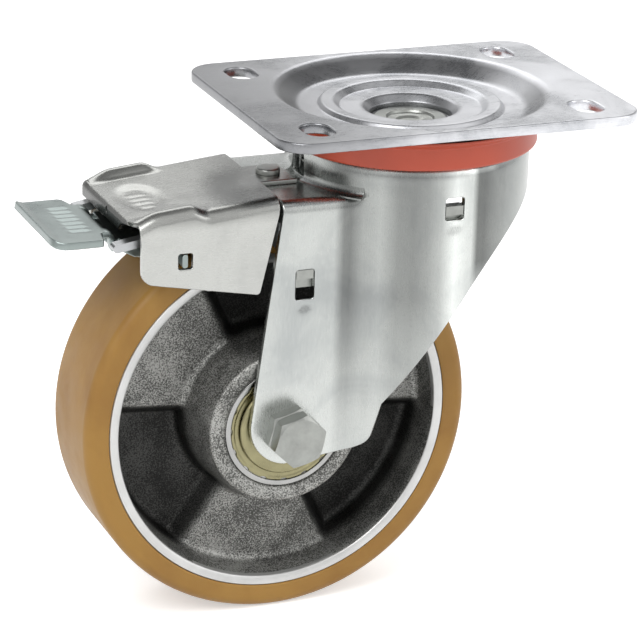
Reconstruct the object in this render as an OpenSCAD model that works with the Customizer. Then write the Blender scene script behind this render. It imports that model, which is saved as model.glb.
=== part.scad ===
// Swivel castor with a plate fixing, a pressed fork and a brake that stops wheel and swivel.
// Origin: middle of the plate's top face, on the swivel axis. The wheel trails towards -X.

/* [Mounting plate] */
// Length of the plate, along the trail
plate_l = 140; // [125:1:160]
// Width of the plate
plate_w = 110; // [105:1:135]
// Thickness of the plate
plate_t = 4; // [3.5:0.5:4.5]
// Corner radius of the plate
plate_corner_r = 12; // [6:1:16]
// Bolt hole spacing along the length
hole_x = 105; // [102:1:110]
// Bolt hole spacing across the width, at the middle of the slots
hole_y = 77.5; // [75:0.5:82]
// Width of a bolt slot
hole_d = 11; // [9:0.5:11]
// End to end length of a bolt slot
slot_l = 16; // [13:0.5:16.5]

/* [Swivel head] */
// Radius of the dish pressed into the plate
dish_r = 51; // [50:0.5:52]
// Depth of the dish floor
dish_depth = 6; // [5.5:0.25:6.5]
// Radius of the ring of upper balls
race_r = 30; // [29:0.5:31]
// Diameter of an upper ball
ball_d = 8; // [7.5:0.25:8.5]
// Number of upper balls
ball_count = 20; // [12:1:21]
// Radius of the ring of lower balls
low_race_r = 20.5; // [20:0.25:21]
// Diameter of a lower ball
low_ball_d = 6.5; // [6:0.25:6.75]
// Number of lower balls
low_ball_count = 16; // [10:1:17]
// Diameter of the king pin's shank
pin_d = 18; // [14:0.5:19]
// Wall of the seal ring
seal_t = 2.2; // [1.6:0.1:3]
// Height of the seal ring's outer wall below the dish
seal_h = 10; // [9:0.5:11]
// Number of notches that lock the swivel
notch_count = 24; // [12:4:28]

/* [Fork] */
// Height from the floor to the top of the plate
total_h = 192; // [192:1:196]
// Trail, from the swivel axis back to the axle
trail = 57; // [55:0.5:58]
// Sheet thickness of the fork
sheet = 3; // [2.5:0.25:3.5]
// Outer radius of the fork's crown
crown_r = 44.5; // [43.5:0.25:45]
// Radius of the legs' round feet
foot_r = 15.3; // [14:0.1:16]

/* [Wheel] */
// Diameter over the tyre
wheel_d = 150; // [146:1:150]
// Width of the tyre
tyre_w = 40; // [36:1:40]
// Thickness of the tyre
tyre_t = 9; // [7:0.5:10]
// Thickness of the rim at its face
rim_t = 3.8; // [3:0.2:5]
// Length of the wheel's hub
hub_l = 53; // [53:0.5:56]
// Diameter of the hub at its face
hub_d = 59; // [54:1:62]
// Thickness of the web
web_t = 6; // [4:0.5:7]
// How far the web's raised sectors stand from the middle plane
web_rise = 8; // [6.5:0.5:9]
// Number of raised sectors on each side
sector_count = 3; // [3:1:4]

/* [Bearings and axle] */
// Outer diameter of a ball bearing
bearing_od = 47; // [46:1:48]
// Bore of a ball bearing
bearing_id = 20; // [18:0.5:20]
// Width of a ball bearing
bearing_w = 14; // [12:0.5:15]
// Diameter of the axle bolt
bolt_d = 12; // [10:0.5:12]
// Width across the flats of the bolt's head and nuts
hex_af = 18; // [16:0.5:19]
// Height of the bolt's head
head_h = 6.5; // [5:0.5:7.5]
// Height of the thin nut under the head
thin_nut_h = 5; // [4:0.5:6]
// Height of the nut on the far side
nut_h = 10; // [8:0.5:12]

/* [Brake] */
// Sheet thickness of the brake's cover
cover_t = 2; // [1.5:0.25:2]
// How far the cover reaches back past the axle
cover_reach = 57.5; // [56:0.5:59]
// Sheet thickness of the pedal
pedal_t = 2.8; // [2.4:0.2:3]
// How far the pedal reaches back past the axle
pedal_reach = 88; // [81:1:93]
// Width of the pedal's pad
pad_w = 50; // [46:1:54]
// Sheet thickness of the brake lever
lever_t = 3; // [2.6:0.1:3.2]
// Turn of the pedal from released to braked
pedal_turn = 24; // [20:1:25]
// Turn of the lever from released to braked
lever_turn = 4; // [3.6:0.1:4]

/* [Hidden] */
$fn = 72;
// Smallest overlap that makes a cut or a join clean
eps = 0.5;
// Running gap between parts that move past each other
run = 0.3;
// Slip between parts that only fit together
slip = 0.1;

// Swivel head, measured down from the plate's top face
dish_floor_r = dish_r - 9;
dish_top_round = 2;
ridge_h = 2;
hub_flat_r = race_r - 4.2;
hub_flat_depth = dish_depth + 1.2;
socket_r = pin_d / 2 + 6.2;
lip_r = socket_r + 2.3;
socket_depth = hub_flat_depth + 4.3;
collar_r = socket_r + 3.2;
collar_drop = socket_depth + 3.5;
ball_z = -(dish_depth + plate_t - ridge_h + ball_d / 2 + 0.5);
groove_r = ball_d / 2 + slip;
crown_t = sheet + 1;
crown_top = ball_z - 2;
crown_under = crown_top - crown_t;
crown_bore_r = collar_r + 0.8;
crown_shoulder = 4;
low_ball_z = crown_under - low_ball_d / 2 + 1.2;
low_groove_r = low_ball_d / 2 + slip;
cup_top = low_ball_z - low_ball_d / 2 + 1.4;
cup_t = 3.4;
cup_under = cup_top - cup_t;
cup_r = 29.5;
notch_in_r = 25.4;
notch_w = 4.8;
pin_head_r = socket_r - 0.6;
pin_foot_h = 3.2;
seal_out_r = crown_r + 0.5 + seal_t;
dish_slope = (dish_depth - 1.9) / (dish_r - dish_floor_r - 2);
seal_top = -plate_t - 1.2 - (dish_r + 1 - seal_out_r) * dish_slope - 0.15;
seal_low = seal_top - seal_h + 1;

// Fork, from the plate down to the feet
hub_gap = 1.5;
leg_in = hub_l / 2 + hub_gap;
leg_out = leg_in + sheet;
bend_x = -sqrt(crown_r * crown_r - leg_out * leg_out);
axle_z = -(total_h - wheel_d / 2);
tyre_top = axle_z + wheel_d / 2;
back_top = tyre_top + 13;
back_under = back_top - sheet;
back_x = -max(trail + 4.5, crown_r + 17);
back_round = 4;
foot_z = axle_z + 2.5;
toe_c = [21.5 - trail, axle_z - 1.2];
toe_r = 8.8;
knee = [33 - trail, axle_z + 9];
brow_x = 5;
brow_z = back_top - 38;
brow_r = 115;
brow_start = 55;
brow_end = 34;

// Windows punched in the legs, the crown and the brake cover: middle and size
leg_window = [back_x + 9, back_top - 31.5, 7.2, 11.4];
crown_window = [-0.4, back_top - 3.8, 7.4, 8.6];
pivot_x = -trail - 41.5;
pivot_z = back_top - 18;
lug_t = 2;
lug_h = 5;
cover_window = [pivot_x, pivot_z, 5.6, 5.8];

// Wheel, measured from the axle and the wheel's middle plane
tyre_r = wheel_d / 2;
rim_r = tyre_r - tyre_t;
rim_in_r = rim_r - rim_t;
hub_r = hub_d / 2;
shoulder_r = 5.5;
first_sector = 25;
sector_a = 180 / sector_count;
wall_t = 6;
web_ledge = 1.2;

// Bearings, measured along the axle from the wheel's middle plane
bearing_r = bearing_od / 2;
hub_bore_r = bearing_r - 4.5;
bearing_face = hub_l / 2 - 0.5;
bearing_in = bearing_face - bearing_w;
bore_r = bearing_id / 2;
ring_step = 3.7;
pitch_r = (bearing_r + bore_r) / 2;
bearing_ball_r = (bearing_r - bore_r) * 0.295;
bearing_ball_count = 8;
shield_t = 0.8;
shield_out_r = bearing_r - 2.4;
shield_in_r = bore_r + ring_step + 0.5;
shield_notches = 16;
flange_r = 18;

// Axle
bolt_r = bolt_d / 2;
washer_r = 12;
washer_t = 2.5;
bolt_tail = 3;

// Brake cover, seen from the side
cover_out = leg_out;
cover_front_x = -trail - cover_reach;
cover_back_x = back_x - 0.7;
cover_back_top = back_top + cover_t;
cover_dip = [-trail - 31.5, back_top - 3];
cover_bulge = [-trail - 38, back_top];
cover_front_top = back_top - 3.5;
cover_round = 4.5;
cover_low_front = back_top - 25;
cover_low_back = back_top - 33.8;
cover_corner_r = 5.5;
cover_rear_lean = 7.6;
tongue_w = 20;
tongue_x = -crown_r - 4;
rivet_x = tongue_x - 7.5;
rivet_r = 2.6;
rivet_head_r = 4.5;
rivet_head_h = 2;
lip_drop = 4;
lip_out = 5.5;
lip_w = 34;

// Brake lever, at rest
lever_low = tyre_top + 1.5;
lever_top = lever_low + lever_t;
lever_pin_x = -trail - 1;
lever_pin_z = lever_top - 6.5;
lever_pin_r = 3;
lever_front_x = -notch_in_r - 0.6;
lever_neck_x = 3.5 - crown_r;
lever_bend_x = -trail - 9;
rail_in = 21.5;
rail_out = min(26, leg_in - 2);
shoe_half_w = 17.5;
shoe_arc_r = tyre_r + 0.2;
shoe_end_a = 34.8;
tail_start_a = 32.6;
tail_half_w = rail_in - 0.7;
tail_back_x = pivot_x - 7.5;
prong_x = pivot_x - 23.5;
prong_drop = 2.7;
tooth_w = 3.6;
tooth_t = 3;
// Middle of the shoe's arc when the lever is released
shoe_c = turned([-trail, axle_z], [lever_pin_x, lever_pin_z], -lever_turn);

// Bracket inside the fork
bracket_t = 1.5;
bracket_out = leg_in - 0.2;
bracket_back_x = -max(trail + 3.5, crown_r + 16);
hook_h = 3.4;

// Pedal, at rest
pad_top = back_top - 9;
arm_top = pad_top - 4.5;
pad_out_x = -trail - pedal_reach;
pad_in_x = pivot_x - 29;
arm_out_x = pivot_x - 20.5;
arm_in_x = pivot_x + 4.5;
cheek_out = rail_in - run;
cheek_t = 2.8;
cam_offset = 7;
cam_x = pivot_x - cam_offset;
cam_r = norm([cam_x, pivot_z] - shoe_c) - shoe_arc_r - lever_t - run;
pad_corner_r = 6;
grip_h = 1.2;

// Point p turned about c by a degrees, so that a positive angle lowers what lies towards -X
function turned(p, c, a) = [
    c[0] + (p[0] - c[0]) * cos(a) - (p[1] - c[1]) * sin(a),
    c[1] + (p[0] - c[0]) * sin(a) + (p[1] - c[1]) * cos(a)];
// Points along an arc from angle a0 to a1
function arc(c, r, a0, a1, n = 8) = [for (i = [0:n]) c + r * [cos(a0 + (a1 - a0) * i / n),
    sin(a0 + (a1 - a0) * i / n)]];

// Extrudes an outline drawn in X and Z along Y, from y0 to y1
module across(y0, y1) {
    translate([0, y1, 0]) rotate([90, 0, 0]) linear_extrude(y1 - y0) children();
}
// Makes the same thing on the near and the far side
module both_sides() {
    children();
    mirror([0, 1, 0]) children();
}
// Puts a part drawn about Z on the axle, with its +Z side towards the near side
module on_axle() {
    translate([-trail, 0, axle_z]) rotate([90, 0, 0]) children();
}
// A ring with a square section about Z
module ring(r_out, r_in, z0, z1) {
    difference() {
        translate([0, 0, z0]) cylinder(r = r_out, h = z1 - z0);
        translate([0, 0, z0 - eps]) cylinder(r = r_in, h = z1 - z0 + 2 * eps);
    }
}
// A hexagonal nut or head between two heights
module hexagon(af, z0, z1) {
    translate([0, 0, z0]) cylinder(d = af / cos(30), h = z1 - z0, $fn = 6);
}
// Chamfered tool that rounds the corners of a hexagon, as turned nuts and heads have
module hex_turning(af, z0, z1, top, low) {
    cut = 1.2;
    reach = af / cos(30) / 2;
    rotate_extrude() polygon([[0, z0], [reach - (low ? cut : 0) , z0],
        [reach + eps, z0 + (low ? 0.7 : 0)], [reach + eps, z1 - (top ? 0.7 : 0)],
        [reach - (top ? cut : 0), z1], [0, z1]]);
}
// A torus about Z, used to cut ball grooves
module groove(r, r_ball, z) {
    rotate_extrude() translate([r, z]) circle(r = r_ball, $fn = 32);
}
// Balls spaced evenly round Z
module ball_ring(count, r, r_ball, z) {
    for (i = [0:count - 1]) {
        rotate([0, 0, i * 360 / count]) translate([r, 0, z]) sphere(r = r_ball, $fn = 20);
    }
}

// Plate outline with round corners
module plate_outline() {
    x = plate_l / 2 - plate_corner_r;
    y = plate_w / 2 - plate_corner_r;
    square([2 * x, plate_w], center = true);
    square([plate_l, 2 * y], center = true);
    for (sx = [-1, 1], sy = [-1, 1]) {
        translate([sx * x, sy * y]) circle(r = plate_corner_r);
    }
}
module bolt_slot() {
    run_y = (slot_l - hole_d) / 2;
    square([hole_d, 2 * run_y], center = true);
    for (s = [-1, 1]) {
        translate([0, s * run_y]) circle(d = hole_d);
    }
}
// Section of the pressed dish with its ball ridge and the socket for the king pin
module dish_section() {
    under = -(dish_depth + plate_t);
    flat_under = -(hub_flat_depth + plate_t);
    polygon([
        [dish_r + 3, 0], [dish_r + 0.6, -0.25], [dish_r - 1, -1.2], [dish_floor_r + 1, -dish_depth + 0.7],
        [dish_floor_r - 1, -dish_depth], [race_r + 4.2, -dish_depth], [race_r + 2.6, -dish_depth + ridge_h],
        [race_r, -dish_depth + ridge_h], [race_r - 2.2, -dish_depth + ridge_h - 0.5],
        [hub_flat_r, -hub_flat_depth], [lip_r, -hub_flat_depth], [socket_r + 0.6, -hub_flat_depth - 0.8],
        [socket_r, -hub_flat_depth - 2], [socket_r, -socket_depth], [pin_d / 2 + slip, -socket_depth],
        [pin_d / 2 + slip, -collar_drop], [collar_r - 1.5, -collar_drop], [collar_r, -collar_drop + 1.5],
        [collar_r, flat_under], [hub_flat_r - 1, flat_under], [hub_flat_r + 1, under],
        [dish_floor_r + 1, under], [dish_floor_r + 3, under + 0.7],
        [dish_r + 1, -plate_t - 1.2], [dish_r + 3, -plate_t]]);
}
module mounting_plate() {
    color("gainsboro") difference() {
        union() {
            difference() {
                translate([0, 0, -plate_t]) linear_extrude(plate_t) plate_outline();
                translate([0, 0, -plate_t - eps]) cylinder(r = dish_r + 2.9, h = plate_t + 2 * eps);
            }
            rotate_extrude() dish_section();
        }
        for (sx = [-1, 1], sy = [-1, 1]) {
            translate([sx * hole_x / 2, sy * hole_y / 2, -plate_t - eps])
                linear_extrude(plate_t + 2 * eps) bolt_slot();
        }
        groove(race_r, groove_r, ball_z);
    }
}
// Hollow pin with a stepped head in the plate's socket and a riveted foot under the lower cup
module king_pin() {
    head_top = -socket_depth + 2.4;
    shank_r = pin_d / 2;
    foot_z0 = cup_under - pin_foot_h;
    color("silver") rotate_extrude() polygon([
        [0, head_top - 2.2], [shank_r - 4, head_top - 2.2], [shank_r - 3.2, head_top - 1],
        [shank_r - 0.5, head_top - 1], [shank_r, head_top], [pin_head_r - 1, head_top],
        [pin_head_r, head_top - 0.8], [pin_head_r, -socket_depth], [shank_r, -socket_depth],
        [shank_r, cup_under], [shank_r + 3.2, cup_under], [shank_r + 3.8, cup_under - 1],
        [shank_r + 2.2, foot_z0], [0, foot_z0]]);
}
// Plastic ring that covers the upper balls, between the dish and the crown
module seal_ring() {
    seal_in_r = seal_out_r - seal_t;
    color("firebrick") rotate_extrude() polygon([
        [seal_in_r, seal_low], [seal_out_r - 0.5, seal_low], [seal_out_r, seal_low + 0.7],
        [seal_out_r, seal_top], [seal_in_r, seal_top - dish_slope * seal_t]]);
}
// Lower ball cup, riveted to the king pin, with the notches that lock the swivel
module lower_cup() {
    color("darkgray") difference() {
        rotate_extrude() polygon([
            [pin_d / 2, cup_under], [cup_r - 0.6, cup_under], [cup_r, cup_under + 0.6],
            [cup_r, cup_top - 0.6], [cup_r - 0.6, cup_top], [pin_d / 2, cup_top]]);
        groove(low_race_r, low_groove_r, low_ball_z);
        for (i = [0:notch_count - 1]) {
            rotate([0, 0, i * 360 / notch_count])
                translate([notch_in_r, -notch_w / 2, cup_under - eps])
                    cube([cup_r, notch_w, cup_t + 2 * eps]);
        }
    }
}
module upper_balls() {
    color("lightgray") ball_ring(ball_count, race_r, ball_d / 2, ball_z);
}
module lower_balls() {
    color("lightgray") ball_ring(low_ball_count, low_race_r, low_ball_d / 2, low_ball_z);
}

// Side view of a leg and the crown's skirt: straight back edge, round foot and a long curved front edge
module fork_side() {
    brow_c = [brow_x, brow_z] + brow_r * [sin(brow_start), -cos(brow_start)];
    polygon(concat(
        [[-crown_r - 2, crown_top + 1], [-crown_r - 2, back_top], [back_x, back_top]],
        arc([-trail, foot_z], foot_r, 176, 262),
        arc(toe_c, toe_r, 283, 345, 6),
        [knee],
        arc(brow_c, brow_r, 90 + brow_start, 90 + brow_end),
        [[crown_r + 2, brow_c[1] + brow_r * cos(brow_end) + 2], [crown_r + 2, crown_top + 1]]));
}
// Section of the crown: hole for the collar, rounded shoulder and a skirt that the side view trims
module crown_section() {
    wall_in = crown_r - sheet;
    shoulder_c = [crown_r - crown_shoulder, crown_top - crown_shoulder];
    polygon(concat(
        [[crown_bore_r, crown_under], [crown_bore_r, crown_top]],
        arc(shoulder_c, crown_shoulder, 90, 0, 5),
        [[crown_r, -total_h], [wall_in, -total_h], [wall_in, crown_under - 2],
            [wall_in - 2, crown_under]]));
}
// Punched window through both walls, from its middle and size
module window(w, y) {
    translate([w[0] - w[2] / 2, -y, w[1] - w[3] / 2]) cube([w[2], 2 * y, w[3]]);
}
module fork() {
    y_all = crown_r + eps;
    round_l = -sqrt(crown_r * crown_r - pow(leg_out - back_round, 2)) - back_x - run;
    color("gainsboro") difference() {
        union() {
            intersection() {
                rotate_extrude() crown_section();
                across(-y_all, y_all) fork_side();
            }
            both_sides() intersection() {
                across(leg_in, leg_out) fork_side();
                translate([-2 * trail, 0, -total_h])
                    cube([2 * trail + bend_x + sheet / 4, y_all, total_h + back_top]);
            }
            difference() {
                translate([back_x, -leg_out, back_under]) cube([bend_x + sheet - back_x, 2 * leg_out, sheet]);
                translate([0, 0, back_under - eps]) cylinder(r = crown_r - sheet / 2, h = sheet + 2 * eps);
            }
        }
        // the skirt is open at the back, between the legs
        translate([-crown_r - eps, -leg_in, -total_h])
            cube([crown_r + eps + bend_x + 1.4, 2 * leg_in, total_h + back_under]);
        groove(race_r, groove_r, ball_z);
        groove(low_race_r, low_groove_r, low_ball_z);
        // round bend between the back plate and the legs
        both_sides() difference() {
            translate([back_x - eps, leg_out - back_round, back_top - back_round])
                cube([round_l + eps, back_round + eps, back_round + eps]);
            translate([back_x - 2 * eps, leg_out - back_round, back_top - back_round])
                rotate([0, 90, 0]) cylinder(r = back_round, h = round_l + 4 * eps);
        }
        on_axle() translate([0, 0, -leg_out - eps]) cylinder(r = bolt_r + slip, h = 2 * leg_out + 2 * eps);
        window(leg_window, leg_out + eps);
        window(crown_window, crown_r + eps);
        // slot at the back of the crown
        translate([-crown_r - eps, -6, back_top + eps]) cube([sheet + 3, 12, 9]);
        translate([rivet_x, 0, back_under - eps]) cylinder(r = rivet_r + slip, h = sheet + 2 * eps);
    }
}
// Sheet saddle inside the fork that carries the lever's pins and hooks into the fork's windows
module bracket_plan(inset) {
    half = bracket_out - inset;
    circle(r = crown_r - sheet - 0.2 - inset);
    translate([-2 * trail, -half]) square([2 * trail, 2 * half]);
}
module brake_bracket() {
    low = min(leg_window[1] - 2, lever_pin_z - lever_pin_r - 5);
    web_under = back_under - bracket_t;
    hook_z = leg_window[1] + leg_window[3] / 2 - hook_h - run;
    hook_w = leg_window[2] - 2 * run;
    crown_hook_w = crown_window[2] - 2 * run;
    crown_hook_z = crown_window[1] + crown_window[3] / 2 - hook_h - run - 3;
    color("lightslategray") difference() {
        union() {
            intersection() {
                translate([0, 0, low - 1]) linear_extrude(back_under - low + 1) difference() {
                    bracket_plan(0);
                    bracket_plan(bracket_t);
                }
                across(-crown_r, crown_r) polygon([
                    [bracket_back_x, back_under], [bracket_back_x - 1, back_under - 12],
                    [leg_window[0] - 5.5, low], [leg_window[0] + 5.5, low],
                    [6, back_under - 12], [6, back_under]]);
            }
            translate([bracket_back_x, -bracket_out, web_under])
                cube([-crown_r - 0.5 - bracket_back_x, 2 * bracket_out, bracket_t]);
            both_sides() {
                translate([leg_window[0] - hook_w / 2, bracket_out - bracket_t, hook_z])
                    cube([hook_w, leg_out - bracket_out + bracket_t - 0.6, hook_h]);
                translate([crown_window[0] - crown_hook_w / 2, crown_r - sheet - bracket_t - 0.4, crown_hook_z])
                    cube([crown_hook_w, sheet + bracket_t - 0.4, hook_h]);
            }
        }
        translate([lever_pin_x, leg_out, lever_pin_z]) rotate([90, 0, 0])
            cylinder(r = lever_pin_r, h = 2 * leg_out);
        translate([rivet_x, 0, web_under - eps]) cylinder(r = rivet_r + slip, h = bracket_t + 2 * eps);
    }
}
module lever_pins() {
    color("silver") both_sides() translate([lever_pin_x, bracket_out, lever_pin_z]) rotate([90, 0, 0])
        cylinder(r = lever_pin_r, h = bracket_out - rail_in + 0.2);
}

// Folded sheet of the cover, its section carried through the stations of the top's side view
module cover_blank() {
    half = cover_out;
    r = cover_round;
    deep = cover_back_top - cover_low_back + 8;
    outer = concat([[half, -deep]], arc([half - r, -r], r, 0, 90, 5), arc([r - half, -r], r, 90, 180, 5),
        [[-half, -deep]]);
    inner = concat([[cover_t - half, -deep]], arc([r - half, -r], r - cover_t, 180, 90, 5),
        arc([half - r, -r], r - cover_t, 90, 0, 5), [[half - cover_t, -deep]]);
    section = concat(outer, inner);
    stations = [[cover_back_x, cover_back_top], cover_dip, cover_bulge, [cover_front_x, cover_front_top]];
    m = len(section);
    n = len(stations);
    polyhedron(
        points = [for (p = stations) for (q = section) [p[0], q[0], p[1] + q[1]]],
        faces = concat(
            [for (j = [0:m / 2 - 2]) [j, m - 1 - j, m - 2 - j, j + 1]],
            [for (j = [0:m / 2 - 2]) (n - 1) * m * [1, 1, 1, 1] + [j, j + 1, m - 2 - j, m - 1 - j]],
            [for (i = [0:n - 2]) for (j = [0:m - 1])
                [i * m + j, i * m + (j + 1) % m, (i + 1) * m + (j + 1) % m, (i + 1) * m + j]]));
}
module brake_cover() {
    tongue_z = back_top;
    color("gainsboro") difference() {
        union() {
            intersection() {
                cover_blank();
                across(-cover_out - eps, cover_out + eps) polygon(concat(
                    [[cover_back_x, back_top + 9], [cover_back_x, back_top - 2],
                        [cover_back_x - cover_rear_lean, cover_low_back]],
                    arc([cover_front_x + cover_corner_r, cover_low_front + cover_corner_r],
                        cover_corner_r, 280, 180, 6),
                    [[cover_front_x, back_top + 9]]));
            }
            // tongue that lies on the fork's back plate
            translate([cover_back_x - 2, -tongue_w / 2, tongue_z])
                cube([tongue_x - cover_back_x + 2, tongue_w, cover_t]);
            // front edge of the top, turned down over the pedal
            across(-lip_w / 2, lip_w / 2) polygon([
                [cover_front_x + 1, cover_front_top + 0.1], [cover_front_x + 1, cover_front_top - cover_t + 0.2],
                [cover_front_x - lip_out + 0.8, cover_front_top - lip_drop - 1.4],
                [cover_front_x - lip_out, cover_front_top - lip_drop], [cover_front_x - 0.6, cover_front_top - 0.1]]);
        }
        window(cover_window, cover_out + eps);
        translate([rivet_x, 0, tongue_z - eps]) cylinder(r = rivet_r + slip, h = cover_t + 2 * eps);
    }
}
module cover_rivet() {
    top = back_top + cover_t;
    web_under = back_under - bracket_t;
    color("silver") translate([rivet_x, 0, 0]) {
        translate([0, 0, top]) cylinder(r1 = rivet_head_r, r2 = rivet_head_r - 0.5, h = rivet_head_h);
        translate([0, 0, web_under - 1.2]) cylinder(r = rivet_r, h = top - web_under + 1.2 + 0.2);
        translate([0, 0, web_under - 1.4]) cylinder(r = rivet_head_r - 0.6, h = 1.4);
    }
}

module axle_tube() {
    color("silver") on_axle() ring(bore_r, bolt_r + slip, -leg_in, leg_in);
}
module axle_bolt() {
    head_z = leg_out + thin_nut_h;
    tail_z = -(leg_out + washer_t + nut_h + bolt_tail);
    color("silver") on_axle() {
        intersection() {
            hexagon(hex_af, head_z, head_z + head_h);
            hex_turning(hex_af, head_z, head_z + head_h, true, false);
        }
        translate([0, 0, tail_z]) cylinder(r = bolt_r, h = head_z - tail_z + slip);
        translate([0, 0, tail_z - 1]) cylinder(r1 = bolt_r - 1, r2 = bolt_r, h = 1);
    }
}
module axle_thin_nut() {
    color("silver") on_axle() difference() {
        intersection() {
            hexagon(hex_af + 0.4, leg_out, leg_out + thin_nut_h);
            hex_turning(hex_af + 0.4, leg_out, leg_out + thin_nut_h, false, false);
        }
        translate([0, 0, leg_out - eps]) cylinder(r = bolt_r + slip, h = thin_nut_h + 2 * eps);
    }
}
module axle_washer() {
    color("silver") on_axle() ring(washer_r, bolt_r + slip, -leg_out - washer_t, -leg_out);
}
module axle_nut() {
    z1 = -leg_out - washer_t;
    z0 = z1 - nut_h;
    collar_h = 2.5;
    color("silver") on_axle() difference() {
        union() {
            intersection() {
                hexagon(hex_af, z0 + collar_h, z1);
                hex_turning(hex_af, z0 + collar_h, z1, true, true);
            }
            translate([0, 0, z0]) cylinder(r1 = hex_af / 2 - 1.6, r2 = hex_af / 2 - 0.8, h = collar_h + slip);
        }
        translate([0, 0, z0 - eps]) cylinder(r = bolt_r + slip, h = nut_h + 2 * eps);
    }
}
module bearing_spacer() {
    color("silver") on_axle() ring(bore_r + 3, bore_r + slip, -bearing_in, bearing_in);
}
// Thin cupped flange between a bearing and a leg, with a boss that takes the clamping load
module dust_flange() {
    z0 = bearing_face;
    color("darkkhaki") on_axle() rotate_extrude() polygon([
        [bore_r + slip, z0], [bore_r + ring_step - 0.6, z0], [bore_r + ring_step + 0.4, z0 + 0.4],
        [flange_r - 1.4, z0 + 0.4], [flange_r - 0.3, z0 + 0.1], [flange_r, z0 + 0.5],
        [flange_r - 0.6, z0 + 1.3], [flange_r - 2, z0 + 1.4], [bore_r + 4.4, z0 + 1.3],
        [bore_r + 3, leg_in], [bore_r + slip, leg_in]]);
}
module near_dust_flange() {
    dust_flange();
}
module far_dust_flange() {
    mirror([0, 1, 0]) dust_flange();
}
module inner_ring() {
    color("silver") on_axle() difference() {
        ring(bore_r + ring_step, bore_r, bearing_in, bearing_face);
        groove(pitch_r, bearing_ball_r + 0.05, (bearing_in + bearing_face) / 2);
    }
}
module near_inner_ring() {
    inner_ring();
}
module far_inner_ring() {
    mirror([0, 1, 0]) inner_ring();
}
// Outer ring, stepped at its face to seat the shield
module outer_ring() {
    land_r = bearing_r - ring_step;
    seat_z = bearing_face - 1;
    color("silver") on_axle() difference() {
        rotate_extrude() polygon([
            [land_r, bearing_in], [bearing_r - 0.6, bearing_in], [bearing_r, bearing_in + 0.6],
            [bearing_r, bearing_face - 0.6], [bearing_r - 0.6, bearing_face], [shield_out_r, bearing_face],
            [shield_out_r, seat_z], [land_r, seat_z]]);
        groove(pitch_r, bearing_ball_r + 0.05, (bearing_in + bearing_face) / 2);
    }
}
module near_outer_ring() {
    outer_ring();
}
module far_outer_ring() {
    mirror([0, 1, 0]) outer_ring();
}
module bearing_balls() {
    color("lightgray") on_axle()
        ball_ring(bearing_ball_count, pitch_r, bearing_ball_r, (bearing_in + bearing_face) / 2);
}
module near_bearing_balls() {
    bearing_balls();
}
module far_bearing_balls() {
    mirror([0, 1, 0]) bearing_balls();
}
// Pressed shield with small notches round its rim
module shield() {
    z0 = bearing_face - 1;
    color("darkkhaki") on_axle() difference() {
        ring(shield_out_r, shield_in_r, z0, z0 + shield_t);
        for (i = [0:shield_notches - 1]) {
            rotate([0, 0, i * 360 / shield_notches]) translate([shield_out_r - 0.9, -0.4, z0 - eps])
                cube([2, 0.8, shield_t + 2 * eps]);
        }
    }
}
module near_shield() {
    shield();
}
module far_shield() {
    mirror([0, 1, 0]) shield();
}

// Pocket in one side of the web: a sector that leaves half a wall on each side
module web_pocket() {
    apex = wall_t / 2 / sin(sector_a / 2);
    reach = 2 * rim_in_r;
    linear_extrude(2 * web_rise) difference() {
        intersection() {
            circle(r = rim_in_r - web_ledge);
            polygon([[apex, 0], [reach, -(reach - apex) * tan(sector_a / 2)],
                [reach, (reach - apex) * tan(sector_a / 2)]]);
        }
        circle(r = hub_r + web_ledge);
    }
}
// Cast wheel centre: rim, hub and a web whose pockets open by turns to either side
module wheel_centre() {
    half_rim = tyre_w / 2;
    half_hub = hub_l / 2;
    color("dimgray") on_axle() difference() {
        rotate_extrude() polygon([
            [hub_bore_r, half_hub], [hub_r - 1, half_hub], [hub_r, half_hub - 1],
            [hub_r, web_rise], [rim_in_r, web_rise], [rim_in_r, half_rim - 0.6], [rim_in_r + 0.6, half_rim],
            [rim_r, half_rim], [rim_r, -half_rim], [rim_in_r + 0.6, -half_rim], [rim_in_r, -half_rim + 0.6],
            [rim_in_r, -web_rise], [hub_r, -web_rise],
            [hub_r, -half_hub + 1], [hub_r - 1, -half_hub], [hub_bore_r, -half_hub]]);
        for (i = [0:2 * sector_count - 1]) {
            rotate([0, 0, first_sector + i * sector_a])
                translate([0, 0, i % 2 == 0 ? -web_rise - web_t : web_t - web_rise]) web_pocket();
        }
        for (s = [0, 1]) {
            mirror([0, 0, s]) translate([0, 0, bearing_in])
                cylinder(r = bearing_r, h = half_hub - bearing_in + eps);
        }
    }
}
// Tyre with round shoulders
module tyre() {
    half = tyre_w / 2;
    flat = half - shoulder_r;
    color("peru") on_axle() rotate_extrude() polygon(concat(
        [[rim_r, -half]], arc([tyre_r - shoulder_r, -flat], shoulder_r, 270, 360, 6),
        arc([tyre_r - shoulder_r, flat], shoulder_r, 0, 90, 6), [[rim_r, half]]));
}

// Plan of the pedal's pad, with round outer corners and a step in to the arm
module pad_plan() {
    half = pad_w / 2;
    outer = pad_out_x + 1.5;
    polygon(concat(
        arc([outer + pad_corner_r, half - pad_corner_r], pad_corner_r, 180, 90, 5),
        [[pad_in_x, half], [pad_in_x + 4.5, cheek_out], [pad_in_x + 4.5, -cheek_out], [pad_in_x, -half]],
        arc([outer + pad_corner_r, -half + pad_corner_r], pad_corner_r, 270, 180, 5)));
}
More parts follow.
